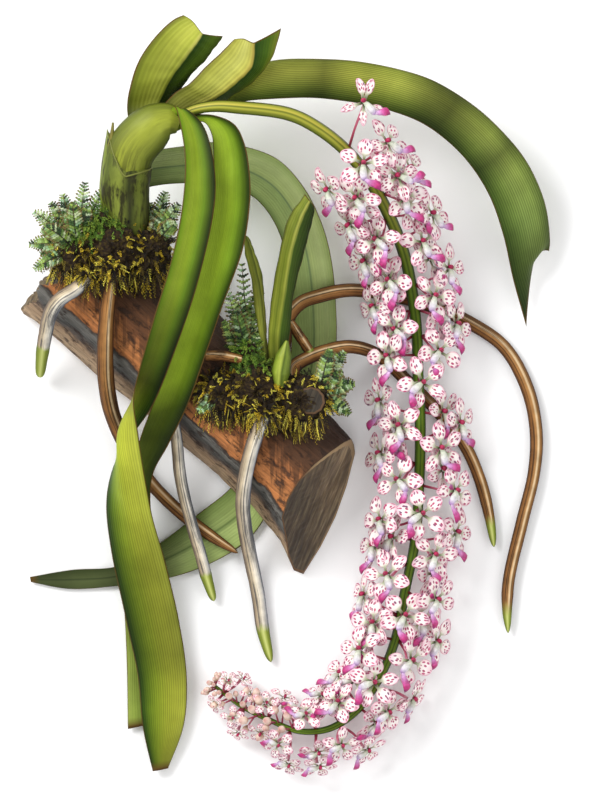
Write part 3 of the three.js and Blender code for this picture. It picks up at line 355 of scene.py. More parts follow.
# near and far: colours across the blade at its base and its end, with painted shade on the edges, on the half
# beyond the fold and in the fold line and a painted highlight down the lit half, turn: where one goes over into
# the other, shade: painted light and shade along it, veins: how deep the fine lines are at the base and the end,
# ribs: how many of them, round: how far the fold is rounded off, corner: how far one corner of the tip draws back
leafLooks = {
    "front_leaf_turned": {
        "near": [(0.0, "455c12"), (0.07, "6c8a1a"), (0.25, "85992a"), (0.5, "7c9222"), (0.7, "5c781a"),
                 (0.86, "36480c"), (0.94, "222e08"), (1.0, "1a2206")],
        "far": [(0.0, "8f9a34"), (0.05, "bcc246"), (0.22, "b2b83c"), (0.42, "a9b236"), (0.62, "8fa22a"),
                (0.8, "657f1c"), (0.92, "385410"), (1.0, "223409")],
        "shade": [(0.0, "ffffff"), (0.34, "ffffff"), (0.42, "b4b4b4"), (0.49, "7c7c7c"), (0.54, "c8c8c8"),
                  (0.6, "ffffff"), (0.68, "f0f0f0"), (0.78, "b0b0b0"), (0.86, "acacac"), (0.92, "e8e8e8"),
                  (0.96, "c0c0c0"), (1.0, "a8a8a8")],
        "turn": (0.46, 0.52), "ribs": 22, "veins": (0.08, 0.34), "stations": 260, "columns": 26, "round": 0.7},
    "front_leaf_beside": {
        "near": [(0.0, "7c9626"), (0.1, "88a028"), (0.42, "86a024"), (0.64, "6c881c"), (0.8, "48600f"),
                 (0.92, "2a3a08"), (1.0, "1a2405")],
        "far": [(0.0, "92a24a"), (0.2, "84963e"), (0.6, "768a38"), (1.0, "4c6020")],
        "shade": [(0.0, "e8e8e8"), (0.1, "ffffff"), (0.4, "ffffff"), (0.52, "f8f8f8"), (0.57, "9c9c9c"),
                  (0.62, "848484"), (0.7, "d0d0d0"), (1.0, "ffffff")],
        "turn": (0.56, 0.68), "ribs": 22, "veins": (0.08, 0.2), "stations": 240, "columns": 26, "round": 0.7},
    "long_leaf_right": {
        "near": [(0.0, "6c7626"), (0.1, "8f9638"), (0.35, "a0a442"), (0.55, "91983a"), (0.75, "6f7c2a"),
                 (0.9, "4a5a1a"), (1.0, "3a4a14")],
        "far": [(0.0, "5c7030"), (0.25, "83994a"), (0.5, "7c9248"), (0.7, "657c38"), (0.88, "4a6026"),
                (1.0, "34481a")],
        "shade": [(0.0, "8c8c8c"), (0.1, "e4e4e4"), (0.2, "f8f8f8"), (0.27, "dcdcdc"), (0.33, "a8a8a8"),
                  (0.38, "e0e0e0"), (0.46, "ffffff"), (0.53, "b4b4b4"), (0.58, "949494"), (0.63, "cccccc"),
                  (0.67, "f0f0f0"), (0.71, "b4b4b4"), (0.76, "ffffff"), (0.83, "f4f4f4"), (0.9, "c0c0c0"),
                  (1.0, "a0a0a0")],
        "turn": (0.4, 0.85), "ribs": 22, "veins": (0.55, 0.45), "stations": 200, "columns": 26, "round": 0.85},
    "leaf_behind": {
        "near": [(0.0, "8fa25e"), (0.2, "a9b878"), (0.46, "a4b470"), (0.5, "70855a"), (0.53, "93a766"),
                 (0.8, "96a866"), (1.0, "697c46")],
        "far": [(0.0, "aabe70"), (0.42, "b2c678"), (0.5, "7a8f50"), (0.56, "a4b76c"), (1.0, "748a42")],
        "shade": [(0.0, "c0c0c0"), (0.1, "ffffff"), (0.4, "ffffff"), (0.56, "e4e4e4"), (0.66, "f4f4f4"),
                  (0.78, "f8f8f8"), (0.85, "7c7c7c"), (1.0, "5c5c5c")],
        "turn": (0.35, 0.72), "ribs": 18, "veins": (0.08, 0.1), "stations": 220, "columns": 24, "round": 0.6},
    "short_leaf_up": {
        "near": [(0.0, "4c5416"), (0.08, "788226"), (0.24, "939b34"), (0.38, "a3aa40"), (0.49, "8c9430"),
                 (0.52, "24380c"), (0.75, "3f5614"), (1.0, "1e300a")],
        "far": [(0.0, "5f5c20"), (0.08, "8f9634"), (0.3, "a8ac46"), (0.44, "a0a640"), (0.49, "b4b05a"),
                (0.52, "203a0c"), (0.8, "486014"), (1.0, "3f5018")],
        "shade": [(0.0, "808080"), (0.35, "f0f0f0"), (1.0, "ffffff")],
        "turn": (0.3, 0.9), "ribs": 16, "veins": (0.06, 0.08), "stations": 90, "columns": 30, "round": 0.2,
        "corner": 0.06},
    "short_leaf_right": {
        "near": [(0.0, "646a20"), (0.12, "a0a442"), (0.3, "969a3c"), (0.44, "bab854"), (0.5, "8c8a30"),
                 (0.54, "30440e"), (1.0, "24360c")],
        "far": [(0.0, "8f8c38"), (0.1, "b0b04e"), (0.3, "c4c466"), (0.42, "b8b656"), (0.5, "b4a24c"),
                (0.53, "20400c"), (0.8, "486616"), (0.95, "6f7c24"), (1.0, "7c6e24")],
        "shade": [(0.0, "808080"), (0.35, "e8e8e8"), (0.7, "ffffff"), (1.0, "ffffff")],
        "turn": (0.3, 0.9), "ribs": 16, "veins": (0.06, 0.08), "stations": 90, "columns": 30, "round": 0.2,
        "corner": 0.06},
    "young_leaf_broad": {
        "near": [(0.0, "4e5a1a"), (0.12, "8c9434"), (0.3, "606c1e"), (0.46, "80862e"), (0.54, "425a16"),
                 (0.8, "364c12"), (1.0, "22340c")],
        "far": [(0.0, "545f1e"), (0.16, "868f34"), (0.4, "6c7a24"), (0.48, "a8a84e"), (0.55, "3a5214"),
                (1.0, "1c300a")],
        "shade": [(0.0, "808080"), (0.25, "ffffff"), (1.0, "f0f0f0")],
        "turn": (0.3, 0.8), "ribs": 10, "veins": (0.2, 0.2), "stations": 90, "columns": 24, "round": 0.25},
    "young_leaf_narrow": {
        "near": [(0.0, "6c7626"), (0.3, "a6aa48"), (0.5, "7c8232"), (0.56, "505a1c"), (0.66, "959a3e"),
                 (1.0, "525f20")],
        "far": [(0.0, "626e24"), (0.3, "9aa042"), (0.5, "6e782a"), (0.56, "444f18"), (0.66, "868e38"),
                (1.0, "3f4e18")],
        "shade": [(0.0, "808080"), (0.25, "ffffff"), (1.0, "f0f0f0")],
        "turn": (0.3, 0.8), "ribs": 8, "veins": (0.15, 0.15), "stations": 80, "columns": 18, "round": 0.25},
}


bladeThickness = 1.15 * mm


def leafRails(rows):
    # the two edges and the keel: given, or the middle of the edges pushed out by a depth in mm
    left, right = onGrid(rows["left"]), onGrid(rows["right"])
    if "middle" in rows:
        return left, onGrid(rows["middle"]), right
    middle = (left + right) / 2
    index = np.arange(len(left))
    along = unit(middle[np.minimum(index + 1, len(left) - 1)] - middle[np.maximum(index - 1, 0)])
    push = unit(np.cross(unit(right - left), along)) * np.array(rows["keel"])[:, None] * mm
    middle = middle + push
    if "keelEnd" in rows:  # a notched tip
        middle[-1] = onGrid(rows["keelEnd"])
    return left, middle, right


def strapShape(rails, look):
    # blade between three rails: straight halves blended with one arc, thin at both edges
    t = np.linspace(0, 1, look["stations"])[:, None]
    s = np.linspace(0, 1, look["columns"])[None, :]
    rounded = t * (1 - look.get("corner", 0) * np.clip(1 - s / 0.25, 0, 1) ** 2 * t ** 8)  # one corner of the tip
    left, keel, right = [curveAt(rail, rounded) for rail in rails]
    a = (s + 0 * t)[..., None]
    fold = np.where(a < 0.5, left + (keel - left) * 2 * a, keel + (right - keel) * (2 * a - 1))
    arc = (1 - a) ** 2 * left + 2 * a * (1 - a) * (2 * keel - (left + right) / 2) + a ** 2 * right
    middle = fold * (1 - look["round"]) + arc * look["round"]
    normal = unit(np.cross(np.gradient(middle, axis=1), np.gradient(middle, axis=0)))
    ripple = 0.00035 * np.sin(19 * t + 2.4 * s) * (2 * s - 1) ** 2 + 0.00012 * np.sin(53 * t + 7 * s)
    middle = middle + normal * ripple[..., None]
    half = bladeThickness / 2 * (1 - 0.7 * np.abs(2 * s - 1) ** 6) * (1 - 0.6 * t ** 30)
    upper, lower = middle + normal * half[..., None], middle - normal * half[..., None]
    rings = np.concatenate([upper, lower[:, ::-1]], 1)
    return skin(rings, t[:, 0], np.concatenate([s[0], s[0, ::-1], s[0, :1]]), cap="zip")


def leafMaterial(name, look):
    # fresh orchid leaf: smooth waxy strap with fine parallel veins, so a soft sheen broken by lines
    made, tree, place, surface = newMaterial(name, 0.5, 1.4, 0.02, 0.14)
    split = addNode(tree, "SeparateXYZ", {0: surface}).outputs
    across, along = split[0], split[1]
    # the near and far colours paint the blade's shade and highlight across it: dark edges, a dark far half and fold,
    # a light middle
    near = ramp(tree, across, look["near"])
    far = ramp(tree, across, look["far"])
    turn = ranged(tree, along, look["turn"][0], look["turn"][1])
    blade = laidOver(tree, near, far, turn)
    # painted light and shade along the blade, darker where it bends and turns away
    lightAndDark = ramp(tree, along, look["shade"])
    shaded = multiplied(tree, blade, lightAndDark)
    patches = noiseAt(tree, place, 55, 4)
    patchTone = ranged(tree, patches, 0.3, 0.7, 0.84, 1.14)
    toned = multiplied(tree, shaded, patchTone)
    drawn = stretched(tree, surface, (look["ribs"] * 1.7, 2.2, 1))
    strokes = noiseAt(tree, drawn, 1, 3, 0.6)
    strokeTone = ranged(tree, strokes, 0.3, 0.7, 0.88, 1.1)
    streaked = multiplied(tree, toned, strokeTone)
    stretch = stretched(tree, surface, (look["ribs"] / 3.18, 0.5, 1))
    veins = addNode(tree, "TexWave", {"Scale": 1, "Distortion": 0.6, "Detail": 2, "Vector": stretch})
    depth = ranged(tree, turn, first=look["veins"][0], last=look["veins"][1])
    groove = ranged(tree, veins.outputs[1], 0.0, 0.4, 1.0, 0.0)
    sunk = calc(tree, "MULTIPLY", depth, groove)
    veinTone = calc(tree, "SUBTRACT", 1.03, sunk)
    veined = multiplied(tree, streaked, veinTone)
    edge = calc(tree, "SUBTRACT", across, 0.5)
    edge = calc(tree, "ABSOLUTE", edge)
    edge = calc(tree, "MULTIPLY_ADD", patches, 0.03, edge)
    edge = ranged(tree, edge, 0.492, 0.508)
    tip = ranged(tree, along, 0.988, 0.998)
    rim = calc(tree, "MAXIMUM", edge, tip)
    dried = laidOver(tree, veined, "57401a", rim)
    return coated(made, dried, veins.outputs[1], 0.35, 0.0003)


for node, rows in leafRows.items():
    look = leafLooks[node]
    words = "leaf" + "".join(word.title() for word in node.split("_") if word != "leaf")
    addPiece(words, [strapShape(leafRails(rows), look)], [leafMaterial("leaf, " + words, look)], [node])
print("leaves done")


stemLook = {
    "arch": [[127, 246, 40], [127, 215, 46], [127, 190, 50], [127, 170, 53], [133, 150, 56], [148, 133, 59],
             [159, 125, 60], [170, 122, 60], [179, 124, 59]],
    "archRadii": [9.5, 11, 11.6, 11.9, 12.3, 12, 10.6, 8.6, 5.5], "archFlat": 0.62,
    "sheath": [[126, 232, 43], [126, 210, 47], [125, 190, 50], [126, 172, 53], [127, 160, 54]],
    "sheathRadii": [11.5, 11.9, 12.5, 12.8, 12.9], "sheathFlat": 0.68, "sheathStations": 60, "sheathSides": 48,
    "point": [[110, 160, 55], [112, 145, 57], [114, 124, 58]], "pointRadii": [2.4, 1.6, 0.5],
    # colours round the arch from the underside: painted shade below and on the flanks, painted highlight along the
    # top
    "colours": [(0.0, "1c1208"), (0.18, "332c0e"), (0.27, "4c5418"), (0.37, "727c24"), (0.46, "98a032"),
                (0.55, "8a9230"), (0.65, "5f6a20"), (0.74, "363e10"), (0.84, "221c0c"), (1.0, "1c1208")],
    "streaks": "2c2c0c",
    "mouth": (-7.5, 21.0, 4.0), "mouthFrom": 0.45, "lean": 3.4, "rimSides": slice(12, 38),
    "budRows": [[280, 386, 50], [281, 372, 52], [284, 356, 54], [287, 341, 55]], "budRadii": [3, 4.6, 4, 0.8]}


def stemMaterial(name, stops, streakFrom, streakTo, outer="ffffff"):
    # folded leaf base: fleshy and smooth, dark streaks where old sheaths covered it; outer tints the far end
    made, tree, place, surface = newMaterial(name, 0.5, 1.4, 0.04, 0.3)
    split = addNode(tree, "SeparateXYZ", {0: surface}).outputs
    # the stops run round the tube from the underside, so they paint its shade below and its highlight on top
    base = ramp(tree, split[0], stops)
    stretch = stretched(tree, surface, (26, 3.2, 1))
    fibres = noiseAt(tree, stretch, 1, 5, 0.6)
    tone = ranged(tree, fibres, 0.35, 0.65, 0.8, 1.15)
    toned = multiplied(tree, base, tone)
    low = ranged(tree, split[1], streakFrom, streakTo, 1.0, 0.0)
    thin = ranged(tree, fibres, 0.46, 0.6)
    mask = calc(tree, "MULTIPLY", low, thin)
    streaked = laidOver(tree, toned, stemLook["streaks"], mask)
    outerShare = ranged(tree, split[1], 0.22, 0.4)
    tinted = multiplied(tree, streaked, outer, outerShare)
    return coated(made, tinted, fibres, 0.4, 0.0005)


stations, sides = stemLook["sheathStations"], stemLook["sheathSides"]
sheathRings = tubeRings(onGrid(stemLook["sheath"]), stemLook["sheathRadii"], stations, sides, stemLook["sheathFlat"],
                        14, 0.012)
leftward = np.cos(np.linspace(0, 1, sides, endpoint=False) * 2 * np.pi - np.pi / 2)[None, :]
below = stemLook["mouthFrom"]
grown = np.clip((np.linspace(0, 1, stations)[:, None] - below) / (1 - below), 0, 1) ** 1.3
low, left, right = stemLook["mouth"]  # the mouth dips in front and climbs on the left, in mm
sheathRings[..., 1] += (low + left * np.maximum(leftward, 0) ** 1.6 + right * np.maximum(-leftward, 0)) * grown * mm
sheathRings[..., 0] += stemLook["lean"] * np.maximum(leftward, 0) * grown * mm
mouthRim = np.concatenate([sheathRings[-1], sheathRings[-1, :1]])[stemLook["rimSides"]]
stemPieces = [
    skin(tubeRings(onGrid(stemLook["arch"]), stemLook["archRadii"], 90, 40, stemLook["archFlat"], 9, 0.012), mark=0),
    skin(sheathRings, mark=1),
    skin(tubeRings(onGrid(stemLook["point"]), stemLook["pointRadii"], 30, 12, 1.0, 4, 0.1), mark=2),
    skin(tubeRings(mouthRim, [0.2, 0.4, 0.45, 0.4, 0.2], 60, 8), mark=3)]
# each of these stops paints shade on the underside and a highlight along the top
stemMaterials = [
    stemMaterial("stem, folded leaf base", stemLook["colours"], 0.25, 0.75),
    stemMaterial("stem, old sheath", [(0.0, "1c1407"), (0.22, "4a5218"), (0.3, "7c8a30"), (0.36, "4f5a1c"),
                                      (0.46, "7f8a34"), (0.53, "2c3210"), (0.6, "6f7a2c"), (0.7, "3a4014"),
                                      (0.8, "1f1c09"), (1.0, "171006")], 1.3, 2.2),
    stemMaterial("stem, dry point", [(0.0, "33360f"), (0.5, "7c7430"), (1.0, "33300f")], 0.0, 0.5),
    stemMaterial("stem, sheath edge", [(0.0, "3a3a14"), (0.5, "767b38"), (1.0, "3a3a14")], -1.0, -0.5)]
addPiece("mainStem", stemPieces, stemMaterials, ["main_stem"])
# the bud's stops paint shade on the underside and a highlight along the top
budMaterial = stemMaterial("bud, young shoot", [(0.0, "2c380c"), (0.3, "5c6e1c"), (0.4, "8a9a34"), (0.47, "a0ac44"),
                                                (0.52, "4c5e18"), (0.58, "72842a"), (0.7, "4a5c18"),
                                                (1.0, "2c380c")], -1.0, -0.5)
budRings = tubeRings(onGrid(stemLook["budRows"]), stemLook["budRadii"], 50, 24, 1.0, 6, 0.04)
addPiece("youngBud", [skin(budRings)], [budMaterial], ["young_bud"])
print("stem done")


rootLooks = {
    "grey_root_left": {
        "rows": [[92, 276, 54], [76, 290, 55], [62, 299, 52], [52, 312, 44], [47, 330, 33], [43, 352, 20],
                 [40, 377, 8]],
        "radii": [1, 1.1, 1.1, 1.1, 1.05, 1, 0.5], "kind": "grey", "tip": 0.78},
    "brown_root_left": {
        "rows": [[113, 272, 56], [108, 313, 52], [106, 348, 46], [107, 385, 32], [114, 418, 18],
                 [130, 453, 10], [150, 482, 8], [180, 512, 7.8], [210, 535, 7.8], [238, 553, 7.6]],
        "radii": [1, 1.15, 1.25, 1.25, 1.2, 1.1, 1, 0.95, 0.9, 0.45], "kind": "brown", "tip": 2.0},
    "grey_root_middle": {
        "rows": [[174, 422, 34.4], [177, 441, 26], [181, 480, 17], [192, 525, 15.6], [200, 552, 12],
                 [206, 575, 8], [214, 601, 4]],
        "radii": [0.9, 0.9, 0.9, 0.9, 0.9, 0.9, 0.35], "kind": "grey", "tip": 0.82},
    "grey_root_right": {
        "rows": [[264, 416, 56], [254, 442, 53], [246, 474, 44], [243, 500, 33], [245, 528, 20], [251, 560, 9],
                 [258, 595, 4.6], [263, 630, 4], [271, 662, 3.8]],
        "radii": [1, 1.12, 1.12, 1.12, 1.1, 1.05, 1.02, 0.98, 0.35], "kind": "grey", "tip": 0.87},
    "long_root_upper": {
        "rows": [[286, 392, 45], [284, 364, 34], [285, 338, 27], [289, 317, 24], [301, 303, 24],
                 [320, 296, 23], [343, 291, 17], [365, 291, 8], [395, 296, 3.9], [440, 309, 3.8],
                 [470, 323, 3.8], [504, 347, 3.8], [527, 388, 3.8], [536, 432, 3.8], [534, 472, 3.8],
                 [522, 522, 3.8], [509, 578, 3.8], [507, 606, 3.8], [508, 633, 3.6]],
        "radii": [1, 1, 1.05, 1.05, 1.05, 1, 1, 1, 1, 1, 0.95, 0.92, 0.9, 0.3], "kind": "brown", "tip": 0.955},
    "long_root_lower": {
        "rows": [[296, 392, 44], [294, 368, 36], [310, 357, 31], [330, 350, 28], [352, 347, 20],
                 [378, 355, 9.5], [408, 382, 4], [440, 414, 3.8], [465, 446, 3.8], [480, 480, 3.8],
                 [489, 515, 3.8], [494, 547, 3.6]],
        "radii": [1.05, 1.05, 1.05, 1, 0.98, 0.95, 0.92, 0.9, 0.3], "kind": "brown", "tip": 0.93},
    "twig_left": {
        "rows": [[206, 356, 48.5], [222, 356, 49], [243, 360, 49]],
        "radii": [0.85, 0.85, 0.7], "kind": "brown", "tip": 2.0},
}
# stops run round each root from the underside: a painted highlight along the top, painted shade on the flanks and
# underneath, over the root's own grey-white or brown
rootShades = {
    "grey": {"stops": [(0.0, "2a2622"), (0.24, "454852"), (0.31, "7c828c"), (0.38, "c4c2ba"), (0.47, "e6dcc8"),
                       (0.54, "c4b497"), (0.62, "9a8870"), (0.7, "6a5a4a"), (0.78, "3c322a"), (1.0, "2a2622")],
             "fibre": "3a3c44"},
    "brown": {"stops": [(0.0, "1e1008"), (0.24, "3a200f"), (0.32, "66401c"), (0.4, "8f6636"), (0.45, "dcc29a"),
                        (0.49, "a87a46"), (0.58, "84582c"), (0.68, "563619"), (0.78, "2c190b"), (1.0, "1e1008")],
              "fibre": "2a160a"},
}
rootRadius = 3.3  # mm, what the radii above are shares of
rootSpur = {"rows": [[290, 322, 36], [298, 334, 35], [310, 352, 31]], "radii": [2.2, 2.6, 2.6]}  # a short side root


def rootMaterial(name, shade, tipFrom):
    # dry aerial root: spongy white or brown coat drawn into fine long ridges, matt, with a green growing tip
    made, tree, place, surface = newMaterial(name, 0.7, specular=0.25)
    split = addNode(tree, "SeparateXYZ", {0: surface}).outputs
    base = ramp(tree, split[0], shade["stops"])
    stretch = stretched(tree, surface, (26, 3.2, 1))
    fibres = noiseAt(tree, stretch, 1, 4, 0.6)
    thin = ranged(tree, fibres, 0.5, 0.58, last=0.8)
    lined = laidOver(tree, base, shade["fibre"], thin)
    patches = noiseAt(tree, place, 160, 3)
    tone = ranged(tree, patches, 0.3, 0.7, 0.8, 1.2)
    toned = multiplied(tree, lined, tone)
    edge = calc(tree, "MULTIPLY_ADD", fibres, 0.04, split[1])
    tip = ranged(tree, edge, tipFrom, tipFrom + 0.03)
    # the growing tip's colours round it: painted highlight on top, painted shade below
    tipShade = ramp(tree, split[0],
                    [(0.0, "2c3410"), (0.3, "5c6a22"), (0.42, "8a9836"), (0.5, "c4cb78"), (0.58, "7f8c30"),
                     (0.74, "46521a"), (1.0, "2c3410")])
    ended = laidOver(tree, toned, tipShade, tip)
    return coated(made, ended, fibres, 0.5, 0.0005)


for node, look in rootLooks.items():
    words = "root-" + node
    radii = np.array(look["radii"]) * rootRadius
    radii[-1] += 0.7 * (look["tip"] < 1)  # growing tips end as a bullet
    stations = 30 + len(look["rows"]) * 10
    rings = tubeRings(onGrid(look["rows"]), radii, stations, 28, 1.0, 9, 0.035, 0.045, 0.02)
    shapes = [skin(rings)]
    if node == "long_root_lower":
        shapes.append(skin(tubeRings(onGrid(rootSpur["rows"]), rootSpur["radii"], 20, 20, 1.0, 7, 0.04)))
    addPiece(words, shapes, [rootMaterial("velamen, " + words, rootShades[look["kind"]], look["tip"])], [node])
print("roots done")


logLook = {
    "start": (35, 327), "run": (0.731,
                                0.682), "height": 47, "width": 135, "arch": 6.5, "archFrom": 225, "archTo": 268,
    "slantFrom": 215, "slantRun": 1.46, "slantTurn": 0.0026, "slantBow": 0.00004, "end": 297,
    "section": [[6, 0], [3, 7], [9, 17], [19, 26], [31, 37], [47, 43], [68, 47], [90, 46], [110, 41], [126, 32],
                [135, 19], [133, 7], [126, 0], [96, 0], [66, 0], [36, 0]],
    "edges": [[-20, 0], [0, 1], [30, 4], [80, 5], [130, 9], [175, 12], [222, 14], [230, 14], [246, 15], [256, 15],
              [264, 14], [271, 13], [284, 7], [297, -4]],
    "stub": [[311, 397, 18], [311, 399, 40], [311, 401, 55]], "stubRadii": [7.4, 7, 6.8], "stubRings": 37,
    "stationsBetween": 11, "around": 180, "splinter": 1.9,
    "relief": 0.000225, "reliefFrom": 0.006, "reliefEnds": 0.02, "splinterRun": 0.05}


def logRings(look):
    # the sections along the log, each shifted outwards by its height to make the sawn slant
    section, edges = np.array(look["section"], float), np.array(look["edges"], float)
    index, station = np.arange(len(section))[None, :], np.arange(len(edges))[:, None]
    across, z = section[None, :, 0], section[None, :, 1]
    along, inset = edges[:, None, 0], edges[:, None, 1]
    under = z == 0
    bark = np.where(under | (index < 1), 0, np.sin(index * 5.1 + station * 2.3) * 1.4)
    share = station / (len(edges) - 1)
    lowered = z * (0.94 + 0.06 * np.sin(share * np.pi)) + bark / 2
    broken = np.where(station == 0, np.sin(index * 2.9) * 7 - 3, 0)
    slant = np.maximum(0, (along - look["slantFrom"]) / (look["end"] - look["slantFrom"])) ** 1.5
    run = look["slantRun"] - look["slantTurn"] * across - look["slantBow"] * across ** 2
    sawn = slant * (look["height"] - z) * run
    low = np.where(across < 40, inset * (1 - across / 60), 0)
    arched = (along > look["archFrom"]) & (along < look["archTo"])
    height = np.where(under, np.where(arched, look["arch"], 0), lowered)
    width = across + low + bark
    a = along + broken + sawn
    x = look["start"][0] + a * look["run"][0] + width * look["run"][1]
    y = look["start"][1] + a * look["run"][1] - width * look["run"][0]
    return onGrid(np.stack([x, y, np.maximum(height, 0) + 0 * x], -1)), section


def finer(values, count, axis):
    # straight steps between the given points along one axis
    old = values.shape[axis]
    place = np.linspace(0, old - 1, count)
    low = np.minimum(place.astype(int), old - 2)
    part = (place - low).reshape([-1 if k == axis else 1 for k in range(values.ndim)])
    return np.take(values, low, axis) * (1 - part) + np.take(values, low + 1, axis) * part


rings, section = logRings(logLook)
closed = np.concatenate([rings, rings[:, :1]], 1)
shareRound = np.concatenate([section[:, 0], section[:1, 0]]) / logLook["width"]
fine = finer(finer(closed, logLook["around"] + 1, 1), (len(rings) - 1) * logLook["stationsBetween"] + 1, 0)[:, :-1]
roundU = finer(shareRound, logLook["around"] + 1, 0)
runs = np.linspace(0, 1, fine.shape[0])[:, None]
turns = np.arange(logLook["around"])[None, :]
outward = unit(fine - fine.mean(1, keepdims=True))
grain = (np.sin(turns * 1.9 + 3 * np.sin(runs * 7)) + 0.7 * np.sin(turns * 0.83 + runs * 31)
         + 0.6 * np.sin(turns * 3.1 + runs * 57 + 2 * np.sin(turns * 0.21)))
onTop = np.clip(fine[..., 2] / logLook["reliefFrom"], 0, 1)  # none where the log stands on the table
inner = np.minimum(1, np.minimum(runs, 1 - runs) / logLook["reliefEnds"])
fine = fine + outward * (grain * onTop * inner * logLook["relief"])[..., None]
fine[..., 2] = np.maximum(fine[..., 2], 0)
outwards = unit(np.array([logLook["run"][0], -logLook["run"][1], 0.0]))
splinters = np.abs(np.sin(turns * 0.34 + 1.6 * np.sin(turns * 0.13))) + 0.5 * np.abs(np.sin(turns * 0.9))
splinters = splinters * np.clip(1 - runs / logLook["splinterRun"], 0, 1)
fine = fine + outwards * (splinters * logLook["splinter"] * mm)[..., None]  # the left end is broken in teeth
logBody = skin(fine, runs[:, 0], roundU)
logBody["mark"] = 0


def endFace(ring, outwards, depth):
    # rings that shrink to the middle of an end; torn in layers: a sine of the height plus a sine of x and y
    shrink = np.linspace(0, 0.97, 40)[:, None, None]
    face = ring[None] * (1 - shrink) + ring.mean(0) * shrink
    torn = 0.5 + 0.5 * np.sin(1500 * face[..., 2:] + 2.5 * np.sin(380 * (face[..., :1] + face[..., 1:2])))
    return face + outwards * (0.00002 + depth * (0.25 + torn) * np.minimum(shrink * 9, 1))


def barkMaterial(name):
    # split billet: orange inner bark with dark flecks on top, a slate-dark band on the sloping side that is grey bark
    # with that side's shade painted in, grey-brown torn fibres below, dark runs below the moss that are dirt with the
    # moss's shadow painted in
    made, tree, place, surface = newMaterial(name, 0.8)
    split = addNode(tree, "SeparateXYZ", {0: surface}).outputs
    turned = stretched(tree, place, degrees=43)
    wander = noiseAt(tree, turned, 90, 5, 0.65)
    across = calc(tree, "MULTIPLY_ADD", wander, 0.11, split[0])
    across = calc(tree, "SUBTRACT", across, 0.055)
    # the slate band from 0.14 to 0.26 lies on the sloping side: grey bark with that side's shade painted in
    zones = ramp(tree, across,
                 [(0.0, "5a4634"), (0.04, "b89c7c"), (0.11, "a08468"), (0.14, "5c5048"), (0.17, "4c4b48"),
                  (0.225, "74716a"), (0.26, "352c26"), (0.28, "b5723e"), (0.36, "c07c46"), (0.48, "a46638"),
                  (0.62, "7d4f2c"), (0.8, "583a24"), (1.0, "402c1e")])
    stretch = stretched(tree, turned, (50, 700, 700))
    fibres = noiseAt(tree, stretch, 1, 4, 0.65)
    fibreTone = ranged(tree, fibres, 0.34, 0.66, 0.58, 1.22)
    lined = multiplied(tree, zones, fibreTone)
    stretchFlecks = stretched(tree, turned, (100, 230, 200))
    flecks = noiseAt(tree, stretchFlecks, 1, 5, 0.7)
    dark = ranged(tree, flecks, 0.54, 0.64, last=0.85)
    patchy = laidOver(tree, lined, "33221a", dark)
    # dark runs below the moss: dirt, with the moss's shadow painted in
    runMap = stretched(tree, place, (380, 30, 60))
    runs = noiseAt(tree, runMap, 1, 3)
    darkenedFrom = ranged(tree, runs, 0.36, 0.62, 0.54, 0.28)
    darkened = calc(tree, "SUBTRACT", across, darkenedFrom)
    darkened = ranged(tree, darkened, 0.0, 0.1, last=0.65)
    withDarkRuns = laidOver(tree, patchy, "2e1c10", darkened)
    height = calc(tree, "SUBTRACT", fibres, dark)
    return coated(made, withDarkRuns, height, 0.8, 0.001)


def sawnMaterial(name, dark, light, rimWidth):
    # sawn or torn and weathered end grain: dark grey-brown, fine streaks along the cut, tan bark rim; dark and
    # light are the painted shade on the left and the painted light on the right of the cut face,
    # and the rim follows them
    made, tree, place, surface = newMaterial(name, 0.65)
    split = addNode(tree, "SeparateXYZ", {0: surface}).outputs
    stretch = stretched(tree, place, degrees=-68)
    squeezed = stretched(tree, stretch, (60, 800, 60))
    streaks = noiseAt(tree, squeezed, 1, 5, 0.65, 0.4)
    shades = ramp(tree, streaks,
                  [(0.3, "3a2f20"), (0.44, "504230"), (0.54, "65563f"), (0.64, "7c6e54"), (0.75, "a09474")])
    cloud = noiseAt(tree, place, 50, 3)
    tone = ranged(tree, cloud, 0.3, 0.7, 0.6, 1.35)
    toned = multiplied(tree, shades, tone)
    xyz = addNode(tree, "SeparateXYZ", {0: place})
    paintedLightAcross = ranged(tree, xyz.outputs[0], 0.07, 0.09, dark, light)
    toned = multiplied(tree, toned, paintedLightAcross)
    rimEnd = ranged(tree, xyz.outputs[0], 0.064, 0.094, rimWidth * 0.3, rimWidth)
    rim = calc(tree, "LESS_THAN", split[1], rimEnd)
    rimShade = ramp(tree, paintedLightAcross, [(0.0, "3c2a1a"), (0.5, "644628"), (1.0, "98805c")])
    ringed = laidOver(tree, toned, rimShade, rim)
    return coated(made, ringed, streaks, 0.35, 0.0005)


stubRings = tubeRings(onGrid(logLook["stub"]), logLook["stubRadii"], 40, 36, 1.0, 11, 0.03)[:logLook["stubRings"]]
logPieces = [logBody, skin(endFace(fine[-1], outwards, 0.0004), mark=1), skin(stubRings, mark=2),
             skin(endFace(fine[0], -outwards, 0.0012), mark=3),
             skin(endFace(stubRings[-1], upward, 0.0003), mark=4)]
addPiece("splitLog", logPieces, [
    barkMaterial("bark and split wood"), sawnMaterial("sawn end grain", 0.5, 1.7, 0.1),
    sawnMaterial("twig stub, wet", 0.3, 0.5, 0.02), sawnMaterial("torn end grain", 0.9, 0.9, 0.04),
    sawnMaterial("twig stub face", 0.32, 0.32, 0.26)], ["log"])
print("log done")


